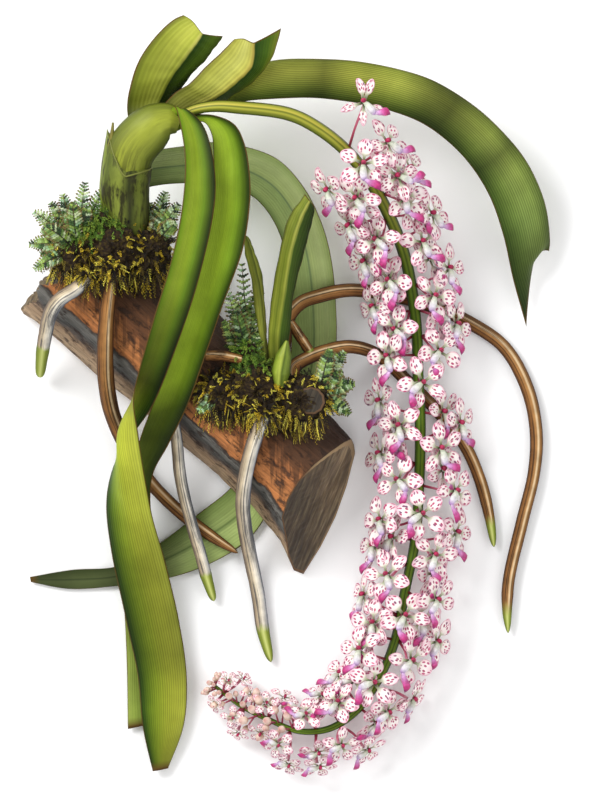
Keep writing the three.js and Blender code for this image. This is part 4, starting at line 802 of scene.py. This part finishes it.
stalkLook = {
    "rows": [[178, 120, 60], [192, 112, 61], [214, 108, 63], [238, 109, 64], [290, 116, 62], [320, 131, 58],
             [350, 156, 50], [375, 190, 40], [395, 230, 30], [406, 262, 22], [413, 300, 17.8],
             [417, 340, 15.8], [418, 380, 15.4], [420, 420, 15.4], [419, 480, 15.2], [415, 540, 14.8],
             [405, 590, 14.4], [395, 640, 14], [378, 680, 13.5], [357, 710, 12.5], [330, 728, 11.5],
             [300, 731, 10], [270, 720, 9], [240, 705, 8], [215, 686, 7.5]],
    "radii": [2.2, 2.4, 2.8, 3.2, 3.3, 3.2, 3.1, 3, 2.9, 2.8, 2.8, 2.7, 2.7, 2.7, 2.6, 2.5, 2.4, 2.3, 2.1, 1.9,
              1.7, 1.5, 1.3, 1.1, 0.9],
    # colours round the stalk from the underside: painted shade below, painted highlight along the top
    "colours": [(0.0, "1f1a08"), (0.24, "3c3a10"), (0.32, "4a5216"), (0.38, "8f9330"), (0.44, "bdb146"),
                (0.48, "5c661a"), (0.53, "a9a83a"), (0.6, "7d8428"), (0.68, "3c4a0f"), (0.76, "4a3a14"),
                (1.0, "1f1a08")]}
stalkRings = tubeRings(onGrid(stalkLook["rows"]), stalkLook["radii"], 420, 28, 1.0, 6, 0.06)
addPiece("flowerStalk", [skin(stalkRings)],
         [stemMaterial("stalk, ribbed", stalkLook["colours"], -1.0, -0.5, "a8e0b0")],
         ["flower_stalk"])
print("stalk done")


# distance along the stalk in mm, side, size, stand, raise in degrees, turn, lean in degrees
flowerRows = [[93, 1, 1, "crown", 0, 0, 0], [112, -1, 1, "pair", 0, 0, 0], [124.75, 1, 1, "pair", 0, 0.5, 0],
    [137.5, -1, 1, "pair", 0, 0.5, 0], [150.25, 1, 1, "pair", 0, 0, 0], [163, -1, 1, "pair", 0, 0.5, 0],
    [175.75, 1, 1, "pair", 0, 0.5, 0], [188.5, -1, 1, "pair", 0, 1, 0], [201.25, 1, 1, "pair", 0, 1, 0],
    [239.5, -1, 1, "pair", 0, 0, 0], [252.25, 1, 1, "pair", 0, -0.5, 0], [265, -1, 1, "pair", 0, 1, 0],
    [303.25, 1, 1, "pair", 0, 0, 0], [316, -1, 1, "pair", 0, 0.5, 0], [341.5, -1, 1, "pair", 12, 0, 0],
    [354.25, 1, 1, "pair", 0, 0.5, 0], [379.75, 1, 0.9432, "pair", 8, 0.9, 12],
    [392.5, -1, 0.8689, "pair", 0, 0, 0], [405.25, 1, 0.7947, "pair", 0, 0, 0],
    [418, -1, 0.7204, "pair", 0, 0, 0], [430.75, 1, 0.6461, "pair", 0, 0, 0],
    [443.5, -1, 0.5718, "pair", 0, 0.5, 0], [456.25, 1, 0.4976, "pair", 0, 0, 0],
    [469, -1, 0.4233, "pair", 0, 0, 0], [104, 1, 1, "top", 0, 0.5, 0], [104, 1, 1, "side", 0, 0, 0],
    [121.791, 1, 1, "side", -26, -0.8, 6], [210.744, -1, 1, "side", -18, 0.3, 6],
    [222.605, 1, 1, "top", 0, 1, 0], [275.977, 1, 1, "side", 0, 1, 0], [287.837, 1, 1, "top", 0, 1, 0],
    [293.767, -1, 1, "side", 0, 0.5, 0], [329.349, 1, 1, "side", -12, 0.6, 8], [341.209, 1, 1, "top", 0, 0, 0],
    [364.93, -1, 1, "side", -18, 0.3, 6], [376.791, 1, 0.9604, "top", -12, 0.6, 8],
    [418.302, 1, 0.7186, "side", 12, 0, 0]]
flowerLook = {
    "stands": {"pair": [(41, 6.3, 15.5, 0.7), (84, -6.3, 19.5, 0.66), (-64, 0.5, 12.5, 0.8)],
               "top": [(6, 0, 17, 1)], "side": [(66, 0, 19.5, 0.7)], "crown": [(58, -11, 27, 0.4)]},
    "footAngle": 78, "footGap": -0.1, "dorsalLean": 0.35,
    "petalAngles": [90, 22, -48, -132, -202], "petalLength": 13.8, "petalHalfWidth": 4.0, "clawHalfWidth": 0.75,
    "crownAngles": [69, 38, -57, -127, 163], "crownWidth": 0.55,
    "petalRows": 13, "petalColumns": 8, "petalThickness": 0.4, "budsFrom": 428, "budsTo": 495, "buds": 44,
    "openFrom": 0.6, "lowest": 0.0003, "upperTo": 290}


def petalShapes(look, count, narrow=1.0):
    # claw then round blade: half width is a claw plus a sine swell, the blade cups, waves and turns back
    t = np.sin(np.linspace(0, np.pi / 2, look["petalRows"]))[None, :, None]  # rows crowd at the round tip
    s = np.linspace(-1, 1, look["petalColumns"])[None, None, :]
    wobble = rng.uniform(-1, 1, (6, count))[:, :, None, None]
    x = np.clip((t - 0.3) / 0.7, 0, 1)
    swell = np.sin(np.pi * np.clip(x ** 0.95, 0, 1)) ** 0.5
    blade = look["petalHalfWidth"] * narrow * (0.84 + 0.12 * wobble[0]) * swell
    half = look["clawHalfWidth"] * (1 - 0.9 * x) + blade
    length = 1.0 + (look["petalLength"] * (0.95 + 0.05 * wobble[1]) - 1.0) * t + 0 * s
    height = (0.5 + 1.1 * t - (1.2 + 0.9 * wobble[2]) * t ** 3 + 0.7 * s ** 2 * swell * (0.4 + wobble[3])
              + 0.4 * np.sin(5 * s + 6 * t + 3 * wobble[4]) * swell)
    across = s * half + 1.1 * wobble[5] * t ** 2
    middle = np.stack([length, across, height + 0 * length], -1) * mm
    thick = look["petalThickness"] / 2 * mm * (1 - 0.6 * s ** 4) * (1 - 0.5 * t ** 6)
    lift = np.zeros_like(middle)
    lift[..., 2] = thick
    return np.concatenate([middle + lift, (middle - lift)[:, :, ::-1]], 2)


def turnedRings(rings, angle):
    # turns rings in the plane of the flower
    c, s = math.cos(math.radians(angle)), math.sin(math.radians(angle))
    return rings @ np.array([[c, s, 0], [-s, c, 0], [0, 0, 1]])


def pathRings(points, radii, stations, sides, flat=1.0):
    # a tube in the flower's own axes, mm to metres
    return tubeRings(np.array(points, float) * mm, radii, stations, sides, flat, blunt=0.25)


def placedRings(rings, basis, heart, size):
    # the flower's own axes to the axes of the scene
    return heart + (rings * np.array([size, size, max(size, 0.8)])) @ basis


def pointAlong(points, distances):
    # t where the curve has run a distance in mm
    t = np.linspace(0, 1, 4001)
    steps = np.linalg.norm(np.diff(curveAt(points, t), axis=0), axis=1)
    return np.interp(distances, np.concatenate([[0], np.cumsum(steps)]) * 1000, t)


def swungUp(across, degrees):
    # a way out from the stalk: 0 is up from the table, 90 is level with it
    return across * math.sin(math.radians(degrees)) + upward * math.cos(math.radians(degrees))


stalkPoints = onGrid(stalkLook["rows"])
blooms = []  # heart, basis rows (right, dorsal, facing), size, foot, side the lip bends to
for distance, side, size, standName, raiseBy, turn, lean in flowerRows:
    t = pointAlong(stalkPoints, np.array([distance]))[0]
    centre = curveAt(stalkPoints, np.array([t]))[0]
    ends = curveAt(stalkPoints, np.array([max(t - 1e-4, 0), min(t + 1e-4, 1)]))
    along = unit(ends[1] - ends[0])
    across = unit(np.cross(upward, along)) * side
    stands = flowerLook["stands"][standName]
    radius = listAt(stalkLook["radii"], np.array([t]))[0]
    for angle, shift, reach, face in stands:
        footAngle = math.copysign(flowerLook["footAngle"], angle) if len(stands) > 1 else angle + raiseBy
        foot = centre + swungUp(across, footAngle) * (radius + flowerLook["footGap"]) * mm
        reach = reach * (0.6 + 0.4 * size if size > flowerLook["openFrom"] else 0.35 + 0.55 * size)
        heart = (centre + swungUp(across, angle + raiseBy) * reach * mm
                 + along * (shift + turn * 2) * size * mm)
        facing = unit(swungUp(across, (angle + raiseBy) * face + lean))
        dorsal = -along + across * (flowerLook["dorsalLean"] + turn)
        right = unit(np.cross(dorsal, facing))
        basis = np.stack([right, unit(np.cross(facing, right)), facing])
        blooms.append((heart, basis, size, foot, 1 if right @ across > 0 else -1))
print(len(blooms), "blooms")


def petalMaterial(name):
    # thin crystalline petal: white to blush, rosy rim, short magenta and violet dashes, green-grey claw
    made, tree, place, surface = newMaterial(name, 0.5, 1.4)
    tint = addNode(tree, "Attribute", {"attribute_name": "tint"}).outputs["Fac"]
    split = addNode(tree, "SeparateXYZ", {0: surface}).outputs
    base = ramp(tree, split[1],
                [(0.0, "3f4a30"), (0.16, "76825e"), (0.3, "b4b89c"), (0.4, "efe2dc"), (0.7, "faefec"),
                 (1.0, "e8b8c6")])
    side = calc(tree, "SUBTRACT", split[0], 0.5)
    side = calc(tree, "ABSOLUTE", side)
    rim = ranged(tree, side, 0.36, 0.5, last=0.75)
    rosy = laidOver(tree, base, "d68aa4", rim)
    own = addNode(tree, "CombineXYZ", {0: tint, 1: tint})
    away = addNode(tree, "VectorMath",
                   {"operation": "MULTIPLY_ADD", 1: (37.0, 91.0, 0.0), 0: own.outputs[0], 2: surface})
    cells = stretched(tree, away.outputs[0], (4.4, 4.0, 1))
    spots = addNode(tree, "TexVoronoi",
                    {"voronoi_dimensions": "2D", "Scale": 1.0, "Randomness": 0.7, "Vector": cells})
    dash = ranged(tree, spots.outputs["Distance"], 0.24, 0.32, 1.0, 0.0)
    onBlade = ranged(tree, split[1], 0.36, 0.43)
    offTip = ranged(tree, split[1], 0.95, 0.99, 1.0, 0.0)
    mask = calc(tree, "MULTIPLY", dash, onBlade)
    mask = calc(tree, "MULTIPLY", mask, offTip)
    spotHue = addNode(tree, "SeparateXYZ", {0: spots.outputs["Color"]})
    spotShade = ramp(tree, spotHue.outputs[0], [(0.0, "8f2252"), (0.35, "b03a68"), (0.65, "c24f78"), (1.0, "6f4668")])
    dashed = laidOver(tree, rosy, spotShade, mask)
    grain = noiseAt(tree, place, 900, 2)
    return coated(made, dashed, grain, 0.2, 0.0002)


def fleshMaterial(name, stops, roughness, mottle):
    # fleshy flower part: colour runs along it, with a fine uneven tone
    made, tree, place, surface = newMaterial(name, roughness, 1.4, 0.03)
    split = addNode(tree, "SeparateXYZ", {0: surface}).outputs
    base = ramp(tree, split[1], stops)
    noise = noiseAt(tree, place, 600, 3)
    tone = ranged(tree, noise, 0.3, 0.7, 1 - mottle, 1 + mottle)
    toned = multiplied(tree, base, tone)
    return coated(made, toned, noise, 0.2, 0.0002)


flowerMaterials = [
    petalMaterial("petal, white with dashes"),
    fleshMaterial("lip, magenta", [(0.0, "cdbcd8"), (0.28, "c48abc"), (0.5, "bf5594"), (0.78, "b32a6c"),
                                   (1.0, "842a66")], 0.45, 0.3),
    fleshMaterial("spur, pale", [(0.0, "9aa886"), (0.3, "cdd0c0"), (0.6, "d8d0da"), (0.85, "b48fc2"),
                                 (1.0, "96609f")], 0.5, 0.22),
    fleshMaterial("column, crimson", [(0.0, "7d1638"), (0.55, "bb2c5c"), (0.86, "a2204a"), (1.0, "701434")], 0.35,
                  0.2),
    fleshMaterial("pedicel, dark red", [(0.0, "6c2026"), (0.3, "a03450"), (0.75, "bd5f78"), (1.0, "c9909c")], 0.45,
                  0.2),
    fleshMaterial("bud, cream and rose", [(0.0, "7c5a34"), (0.25, "c9a88a"), (0.6, "ead4c4"), (1.0, "c48a84")], 0.5,
                  0.15)]


def bloomShapes(number, look):
    # one flower: five petals, spur hanging from the middle, lip swung out to a side, column and pedicel
    heart, basis, size, foot, bend = blooms[number]
    shapes = []
    tints = rng.uniform(0, 1, 5)
    crown = number == 0  # the uppermost flower stands sideways and shows narrow petals
    petals = petalShapes(look, 5, look["crownWidth"] if crown else 1.0)
    s = np.linspace(0, 1, look["petalColumns"])
    rowShares = np.sin(np.linspace(0, np.pi / 2, look["petalRows"]))
    for k, angle in enumerate(look["crownAngles" if crown else "petalAngles"]):
        rings = placedRings(turnedRings(petals[k], angle + rng.uniform(-7, 7)), basis, heart, size)
        shapes.append(skin(rings, rowShares, np.concatenate([s, s[::-1], s[:1]]), tints[k], 0, "zip"))
    b = bend * rng.uniform(0.55, 1.15)
    spur = pathRings([[0, 0.2, 1.0], [0, -2.2, 2.3], [0.1 * b, -4.8, 2.6], [0.6 * b, -7.0, 2.2],
                      [1.4 * b, -8.4, 2.0]],
                     [0.9, 1.6, 1.9, 1.6, 1.0], 11, 8)
    lip = pathRings([[0.7 * b, -6.8, 2.3], [2.6 * b, -8.6, 3.1], [5.0 * b, -9.4, 3.4], [7.2 * b, -10.2, 3.6],
                     [8.9 * b, -12.6, 2.9]], [0.8, 1.3, 1.8, 2.2, 1.1], 13, 8, 0.5)
    column = pathRings([[0, 1.3, 0.4], [0, 0.9, 1.9], [0, 0.2, 3.3]], [1.0, 1.3, 1.1], 9, 8)
    for rings, mark in ((lip, 1), (spur, 2), (column, 3)):
        if size > look["openFrom"] or mark == 3:  # the youngest flowers have not put out a lip yet
            shapes.append(skin(placedRings(rings, basis, heart, size), mark=mark))
    back = heart + np.array([0, -1 * size, -2 * size]) * mm @ basis
    bow = (foot + back) / 2 + np.array([*rng.normal(0, 0.0009, 2), 0.0015])
    shapes.append(skin(tubeRings(np.array([foot, bow, back]), [0.8, 0.65, 0.9], 10, 6), mark=4))
    for shape in shapes:
        shape["points"][:, 2] = np.maximum(shape["points"][:, 2], look["lowest"])  # flat where it meets the table
    return shapes


def budShapes(look):
    # closed buds crowd the thin end of the stalk, each a drop on a short stalk of its own
    shapes = []
    for k, distance in enumerate(np.linspace(look["budsFrom"], look["budsTo"], look["buds"])):
        t = pointAlong(stalkPoints, np.array([distance]))[0]
        centre = curveAt(stalkPoints, np.array([t]))[0]
        ahead = curveAt(stalkPoints, np.array([min(t + 0.004, 1)]))[0]
        along = unit(ahead - curveAt(stalkPoints, np.array([t - 0.004]))[0])
        across = unit(np.cross(upward, along))
        turn = (k % 5 - 2) * 0.62 + rng.uniform(-0.2, 0.2)
        out = unit(across * math.sin(turn) + upward * math.cos(turn) + along * rng.uniform(0.1, 0.6))
        share = (distance - look["budsFrom"]) / (look["budsTo"] - look["budsFrom"])
        size = (1.25 - 0.75 * share) * rng.uniform(0.8, 1.15)
        tip = centre + out * 0.0075 * size
        drop = np.array([tip, tip + out * 0.0016 * size, tip + out * 0.0036 * size, tip + out * 0.0052 * size])
        stalk = np.array([centre, centre + out * 0.004 * size, tip])
        shapes.append(skin(tubeRings(stalk, [0.6, 0.5, 0.5], 6, 6), mark=4))
        shapes.append(skin(tubeRings(drop, np.array([0.7, 1.9, 1.7, 0.3]) * size, 12, 10, blunt=0.2), mark=5))
    return shapes


firstOf = np.cumsum([0] + [len(flowerLook["stands"][row[3]]) for row in flowerRows])
flowerNodes = ["flowers_%02d" % (k + 1) for k in range(len(flowerRows))]
upperRows = [k for k, row in enumerate(flowerRows) if row[0] < flowerLook["upperTo"]]
lowerRows = [k for k, row in enumerate(flowerRows) if row[0] >= flowerLook["upperTo"]]
for pieceName, rows in (("flowersUpper", upperRows), ("flowersLower", lowerRows)):
    shapes = sum([bloomShapes(b, flowerLook) for k in rows for b in range(firstOf[k], firstOf[k + 1])], [])
    if pieceName == "flowersLower":
        shapes += budShapes(flowerLook)
    addPiece(pieceName, shapes, flowerMaterials, [flowerNodes[k] for k in rows])
print("flowers done")


mossLooks = {
    "moss_and_ferns_upper": {
        "lumps": [[78, 254, 47, 15, 15, 11], [114, 252, 48, 18, 17, 12], [150, 255, 46, 13, 15, 11]],
        "small": [[84, 230, 48, 12, 8, 9], [106, 222, 46, 9, 7, 8], [93, 275, 55, 6, 4, 4], [113, 270, 57, 6, 4, 4]],
        "sprigs": 182, "leaflets": 12, "threads": 50, "greenAbove": 240, "greenLeftOf": 126},
    "moss_and_ferns_lower": {
        "lumps": [[222, 394, 46, 14, 12, 9], [256, 392, 46, 18, 17, 11], [300, 400, 45, 17, 15, 11]],
        "small": [[263, 412, 56, 6, 4, 4], [247, 352, 44, 7, 7, 6]],
        "sprigs": 208, "leaflets": 12, "threads": 50, "greenAbove": 374, "greenLeftOf": 400},
}
fernRows = {
    "moss_and_ferns_upper": [
        ([78, 252, 49], [[36, 213, 58], [31, 245, 52], [36, 270, 54], [64, 196, 56], [86, 184, 52], [46, 228, 64],
                         [104, 190, 49], [74, 206, 64], [52, 204, 49]]),
        ([152, 252, 46], [[166, 193, 40], [179, 205, 42], [150, 204, 37], [176, 224, 50]])],
    "moss_and_ferns_lower": [
        ([250, 372, 42], [[242, 264, 36], [227, 290, 40], [259, 280, 32], [236, 312, 48], [234, 296, 36],
                          [252, 300, 38], [224, 322, 42], [257, 334, 44]]),
        ([226, 394, 48], [[199, 412, 52]]),
        ([318, 398, 44], [[344, 352, 36], [354, 384, 38], [349, 414, 40], [330, 350, 44]])],
}


def lumpShape(lump):
    # ellipsoid with a rough skin
    a = np.linspace(0.02, np.pi - 0.02, 30)[:, None]
    b = np.linspace(0, 2 * np.pi, 48, endpoint=False)[None, :]
    rough = 0.9 + 0.09 * np.sin(a * 11 + b * 5) * np.cos(b * 7 - a * 3) + 0.04 * np.sin(a * 23 + b * 17)
    out = np.stack([np.sin(a) * np.cos(b), np.sin(a) * np.sin(b), np.cos(a) + 0 * b], -1)
    centre = onGrid(lump[:3])
    return skin(centre + out * (rough * 0.9)[..., None] * np.array(lump[3:]) * mm, mark=1)


def spikes(feet, ways, lengths, widths, bend, tint, stations=2):
    # thin three-sided points: foot, way, length and width in metres, bent by a sag that grows with the square
    n = len(feet)
    t = np.linspace(0, 1, stations)[None, :, None, None]
    line = feet[:, None, None] + ways[:, None, None] * lengths[:, None, None, None] * t + bend[:, None, None] * t ** 2
    side = unit(np.cross(ways, rng.normal(0, 1, (n, 3))))
    other = np.cross(ways, side)
    angle = np.arange(3) * 2.094  # a third of a turn each
    turned = (side[:, None, None] * np.cos(angle)[None, None, :, None]
              + other[:, None, None] * np.sin(angle)[None, None, :, None])
    width = widths[:, None, None, None] * np.sqrt(1 - 0.96 * t)
    return skin(line + turned * width, tint=tint)


stubClear = 0.0072


def mossSprigs(look, lump):
    # feathery sprigs: a drooping midrib from the lump, leaflets left and right of it, shorter to the tip
    n, m = int(look["sprigs"] * min(1, lump[3] / 13)), look["leaflets"]
    turn = rng.uniform(0, 2 * np.pi, n)
    rise = np.arcsin(rng.uniform(-0.15, 1.0, n))
    out = np.stack([np.cos(turn) * np.cos(rise), np.sin(turn) * np.cos(rise), np.sin(rise)], -1)
    feet = onGrid(lump[:3]) + out * np.array(lump[3:]) * 0.00082
    low = np.clip(-out[:, 1:2] + 0.2, 0, 1)
    away = unit(out * np.array([0.7, 1, 1]) + rng.normal(0, 0.35, (n, 3)) + np.array([0, -0.45, 0.1]))
    length = (rng.uniform(3.4, 6.4, (n, 1)) + 2.2 * low) * mm
    sag = np.concatenate([np.zeros((n, 1)), -0.0022 * low * rng.uniform(0.4, 1.3, (n, 1)), -0.0012 * low], 1)
    s = np.linspace(0.08, 1, m)[None, :, None]
    rib = feet[:, None] + away[:, None] * length[:, None] * s + sag[:, None] * s ** 2
    flatWay = unit(np.cross(away, rng.normal(0, 0.5, (n, 3)) + upward))
    flank = np.where(np.arange(m) % 2 == 0, 1.0, -1.0)[None, :, None]
    ways = unit(away[:, None] * 0.75 + flatWay[:, None] * flank * (1.05 - 0.6 * s) + rng.normal(0, 0.12, (n, m, 3)))
    sizes = (1.5 - 0.75 * s[..., 0] + 0 * flank[..., 0]) * rng.uniform(0.8, 1.25, (n, m)) * 0.00105
    stub = onGrid(logLook["stub"])[2]
    sizes *= np.linalg.norm(rib[..., :2] - stub[:2], axis=-1) > stubClear  # none over the cut face of the twig stub
    corner = onGrid([look["greenLeftOf"], look["greenAbove"], 0])
    green = (feet[:, 1] > corner[1]) & (feet[:, 0] < corner[0])
    shade = rng.uniform(0, 1, n)
    # over half of the brown sprigs take near-black tints: dark old moss, with the shade in the cushion's gaps painted
    # in
    tone = np.where(green, 0.6 + 0.38 * shade, np.where(shade < 0.55, 0.3 * shade, 0.19 + 0.72 * (shade - 0.55)))
    tone = np.clip(tone, 0, 0.99)[:, None] + 0 * s[..., 0]
    widths = np.full(n * m, 0.00026) * rng.uniform(0.8, 1.3, n * m)
    seen = sizes.ravel() > 0
    return spikes(rib.reshape(-1, 3)[seen], ways.reshape(-1, 3)[seen], sizes.ravel()[seen], widths[seen],
                  np.tile([0, -0.0002, -0.0002], (n * m, 1))[seen], tone.ravel()[seen])


def mossThreads(look, lump):
    # loose threads that hang from the lower rim of the moss over the wood
    n = look["threads"]
    x = rng.uniform(-0.85, 0.85, n)
    drop = rng.uniform(0.35, 1.0, n)
    rim = np.stack([x * lump[3], -0.72 * lump[4] * np.sqrt(1 - x ** 2), 0.45 * lump[5] + 0 * x], -1)
    feet = onGrid(lump[:3]) + rim * mm
    ways = unit(np.stack([rng.normal(0, 0.25, n), -1 + 0 * x, -0.2 + 0 * x], -1))
    bend = np.stack([rng.normal(0, 0.0012, n), -0.001 * drop, -0.003 * drop], -1)
    return spikes(feet, ways, drop * 0.0105, np.full(n, 0.00036), bend,
                  rng.choice([0.04, 0.08, 0.12, 0.18, 0.3, 0.46], n), 5)


def mossMaterial(name):
    # cushion moss: translucent small leaves, gold and brown below, fresh green above, with painted shade darkening
    # each sprig towards its root and its tip brightened
    made, tree, place, surface = newMaterial(name, 0.6)
    tint = addNode(tree, "Attribute", {"attribute_name": "tint"}).outputs["Fac"]
    split = addNode(tree, "SeparateXYZ", {0: surface}).outputs
    hues = ramp(tree, tint,
                [(0.0, "0f0904"), (0.1, "231707"), (0.18, "4a380c"), (0.28, "8a7814"), (0.38, "dbb81e"),
                 (0.47, "fff060"), (0.54, "a0a424"), (0.61, "2c4a14"), (0.8, "6a942c"), (1.0, "b4cc4c")])
    # painted shade at each sprig's root fading to a brightened tip
    depth = ranged(tree, split[1], 0.0, 0.6, 0.25, 1.2)
    toned = multiplied(tree, hues, depth)
    return coated(made, toned)


def peatAndGapShadeMaterial(name):
    # dark crumb under the moss, which also paints the shade in the gaps between the sprigs
    made, tree, place, surface = newMaterial(name, 0.95)
    noise = noiseAt(tree, place, 700, 5)
    shade = ramp(tree, noise, [(0.3, "140d06"), (0.5, "2c1d0c"), (0.65, "45380f"), (0.8, "5c5a1a")])
    return coated(made, shade, noise, 1.0, 0.0015)


def arcAt(t, start, bow, end):
    return (1 - t) ** 2 * start + 2 * t * (1 - t) * bow + t ** 2 * end


def frondShapes(stock, tip, lift, width=1.0):
    # bipinnate frond: a stalk on an arc, side leaflets with rounded lobes, shorter to the tip
    base, end = np.array(stock), np.array(tip)
    base = base + (end - base) * 0.12
    bow = (base + end) / 2 + np.array([0, 0.003, lift * mm])
    t = np.linspace(0, 1, 12)[:, None]
    line = arcAt(t, base, bow, end)
    shapes = [skin(tubeRings(line, [0.5, 0.4, 0.15], 12, 5), tint=0.05)]
    pairs = 14
    at = np.linspace(0.1, 0.98, pairs)[:, None]
    roots = arcAt(at, base, bow, end)
    along = unit(2 * (1 - at) * (bow - base) + 2 * at * (end - bow))
    across = unit(np.cross(upward, along))
    reach = 5.2 * width * np.sin(np.pi * (0.14 + at[:, 0] * 0.8)) ** 0.7
    for side in (1, -1):
        way = unit(across * side + along * 0.5 + np.array([0, 0, 0.15]))
        s = np.linspace(0, 1, 13)[None, :, None]
        w = np.array([-1.0, 1.0])[None, None, :]
        lobes = (0.45 + 0.55 * np.abs(np.sin(np.pi * 3 * s))) * (1 - s) ** 0.4 * 1.15
        length = (reach * rng.uniform(0.85, 1.1, pairs))[:, None, None]
        local = unit(np.cross(way, upward))
        middle = (roots[:, None, None] + way[:, None, None] * (length * s)[..., None] * mm
                  + local[:, None, None] * (lobes * w * (0.5 + 0.5 * length / 5))[..., None] * mm)
        middle[..., 2] -= 0.00016 * length * s ** 2
        thick = np.array([0, 0, 0.00012])
        rings = np.concatenate([middle + thick, (middle - thick)[:, :, ::-1]], 2)
        shapes.append(skin(rings, None, np.array([0, 1, 1, 0, 0.0]), rng.uniform(0.1, 1.0, pairs), 0, "zip"))
    for shape in shapes:
        shape["mark"] = 2
    return shapes


def fernMaterial(name):
    # thin fern frond: blue-green leaflets, paler ribs, tips turning brown
    made, tree, place, surface = newMaterial(name, 0.6)
    tint = addNode(tree, "Attribute", {"attribute_name": "tint"}).outputs["Fac"]
    split = addNode(tree, "SeparateXYZ", {0: surface}).outputs
    hues = ramp(tree, tint,
                [(0.0, "3c391a"), (0.12, "1a2f1a"), (0.3, "3a5a26"), (0.45, "5c7c34"), (0.6, "8aa24a"),
                 (0.75, "86ab80"), (0.88, "c2cea4"), (1.0, "7d9a34")])
    mottle = noiseAt(tree, place, 500, 2)
    tone = ranged(tree, mottle, 0.35, 0.65, 0.6, 1.25)
    toned = multiplied(tree, hues, tone)
    tips = ranged(tree, split[1], 0.6, 0.95, last=0.9)
    dried = laidOver(tree, toned, "6b4a20", tips)
    return coated(made, dried)


mossMaterials = [mossMaterial("cushion moss"), peatAndGapShadeMaterial("peat crumb and gap shade"), fernMaterial("fern frond")]
for node, look in mossLooks.items():
    lumps = look["lumps"] + look["small"]
    shapes = [lumpShape(lump) for lump in lumps] + [mossSprigs(look, lump) for lump in lumps]
    shapes += [mossThreads(look, lump) for lump in look["lumps"]]
    addPiece("tufts-" + node, shapes, mossMaterials, [node])
    shapes = []
    for stock, tips in fernRows[node]:
        stockPoint, tipPoints = onGrid(stock), onGrid(tips)
        for k, tip in enumerate(tipPoints):
            shapes += frondShapes(stockPoint, tip, 3 + (k % 3) * 2)
            between = stockPoint + (tip * 0.6 + tipPoints[(k + 1) % len(tips)] * 0.4 - stockPoint) * 0.8
            if k + 1 < len(tips):  # a shorter frond fills the gap to the next one
                shapes += frondShapes(stockPoint + np.array([0, 0, 0.002]), between, 5, 0.85)
    addPiece("fronds-" + node, shapes, mossMaterials, [node])
print("moss done")


# shown: metres from the top of the picture to the bottom, lights: name, place, size and power
stageLook = {"floorSize": 30, "floorHeight": -0.0002, "floor": "ffffff", "centre": (0.069, -0.024), "shown": 0.4,
             "lens": 1000, "world": 0.78, "aim": (0.06, -0.02, 0.03),
             "lights": [("key", (-0.9, 0.8, 1.2), 0.8, 24), ("fill", (1.2, -0.5, 1.3), 1.4, 6)]}

floorMesh = bpy.data.meshes.new("floor")
half = stageLook["floorSize"] / 2
corners = [(x * half, y * half, stageLook["floorHeight"]) for x, y in ((-1, -1), (1, -1), (1, 1), (-1, 1))]
floorMesh.from_pydata(corners, [], [(0, 1, 2, 3)])
floor = bpy.data.objects.new("floor", floorMesh)
bpy.context.scene.collection.objects.link(floor)
floorMaterial, floorTree, _, _ = newMaterial("paper sweep", 0.9)
floorTree.nodes["Principled BSDF"].inputs["Base Color"].default_value = toLinear(stageLook["floor"])
floorMesh.materials.append(floorMaterial)
floor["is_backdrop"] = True

for name, place, size, power in stageLook["lights"]:
    data = bpy.data.lights.new(name, "AREA")
    data.size = size
    data.energy = power
    light = bpy.data.objects.new(name, data)
    light.location = place
    towards = np.array(stageLook["aim"]) - np.array(place)
    light.rotation_euler = (math.acos(towards[2] / np.linalg.norm(towards)) - math.pi, 0,
                            math.atan2(towards[1], towards[0]) - math.pi / 2 + math.pi)
    light.visible_camera = False
    bpy.context.scene.collection.objects.link(light)

world = bpy.context.scene.world or bpy.data.worlds.new("studio")
bpy.context.scene.world = world
world.use_nodes = True
world.node_tree.nodes["Background"].inputs[0].default_value = (1, 1, 1, 1)
world.node_tree.nodes["Background"].inputs[1].default_value = stageLook["world"]

bpy.context.scene.view_settings.view_transform = "Standard"  # the colours above are plain sRGB

cameraData = bpy.data.cameras.new("camera")
cameraData.lens = stageLook["lens"]
cameraData.clip_end = 100
camera = bpy.data.objects.new("camera", cameraData)
camera.location = (*stageLook["centre"], stageLook["shown"] * stageLook["lens"] / cameraData.sensor_width)
bpy.context.scene.collection.objects.link(camera)
bpy.context.scene.camera = camera

low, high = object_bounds()
print("stage done")
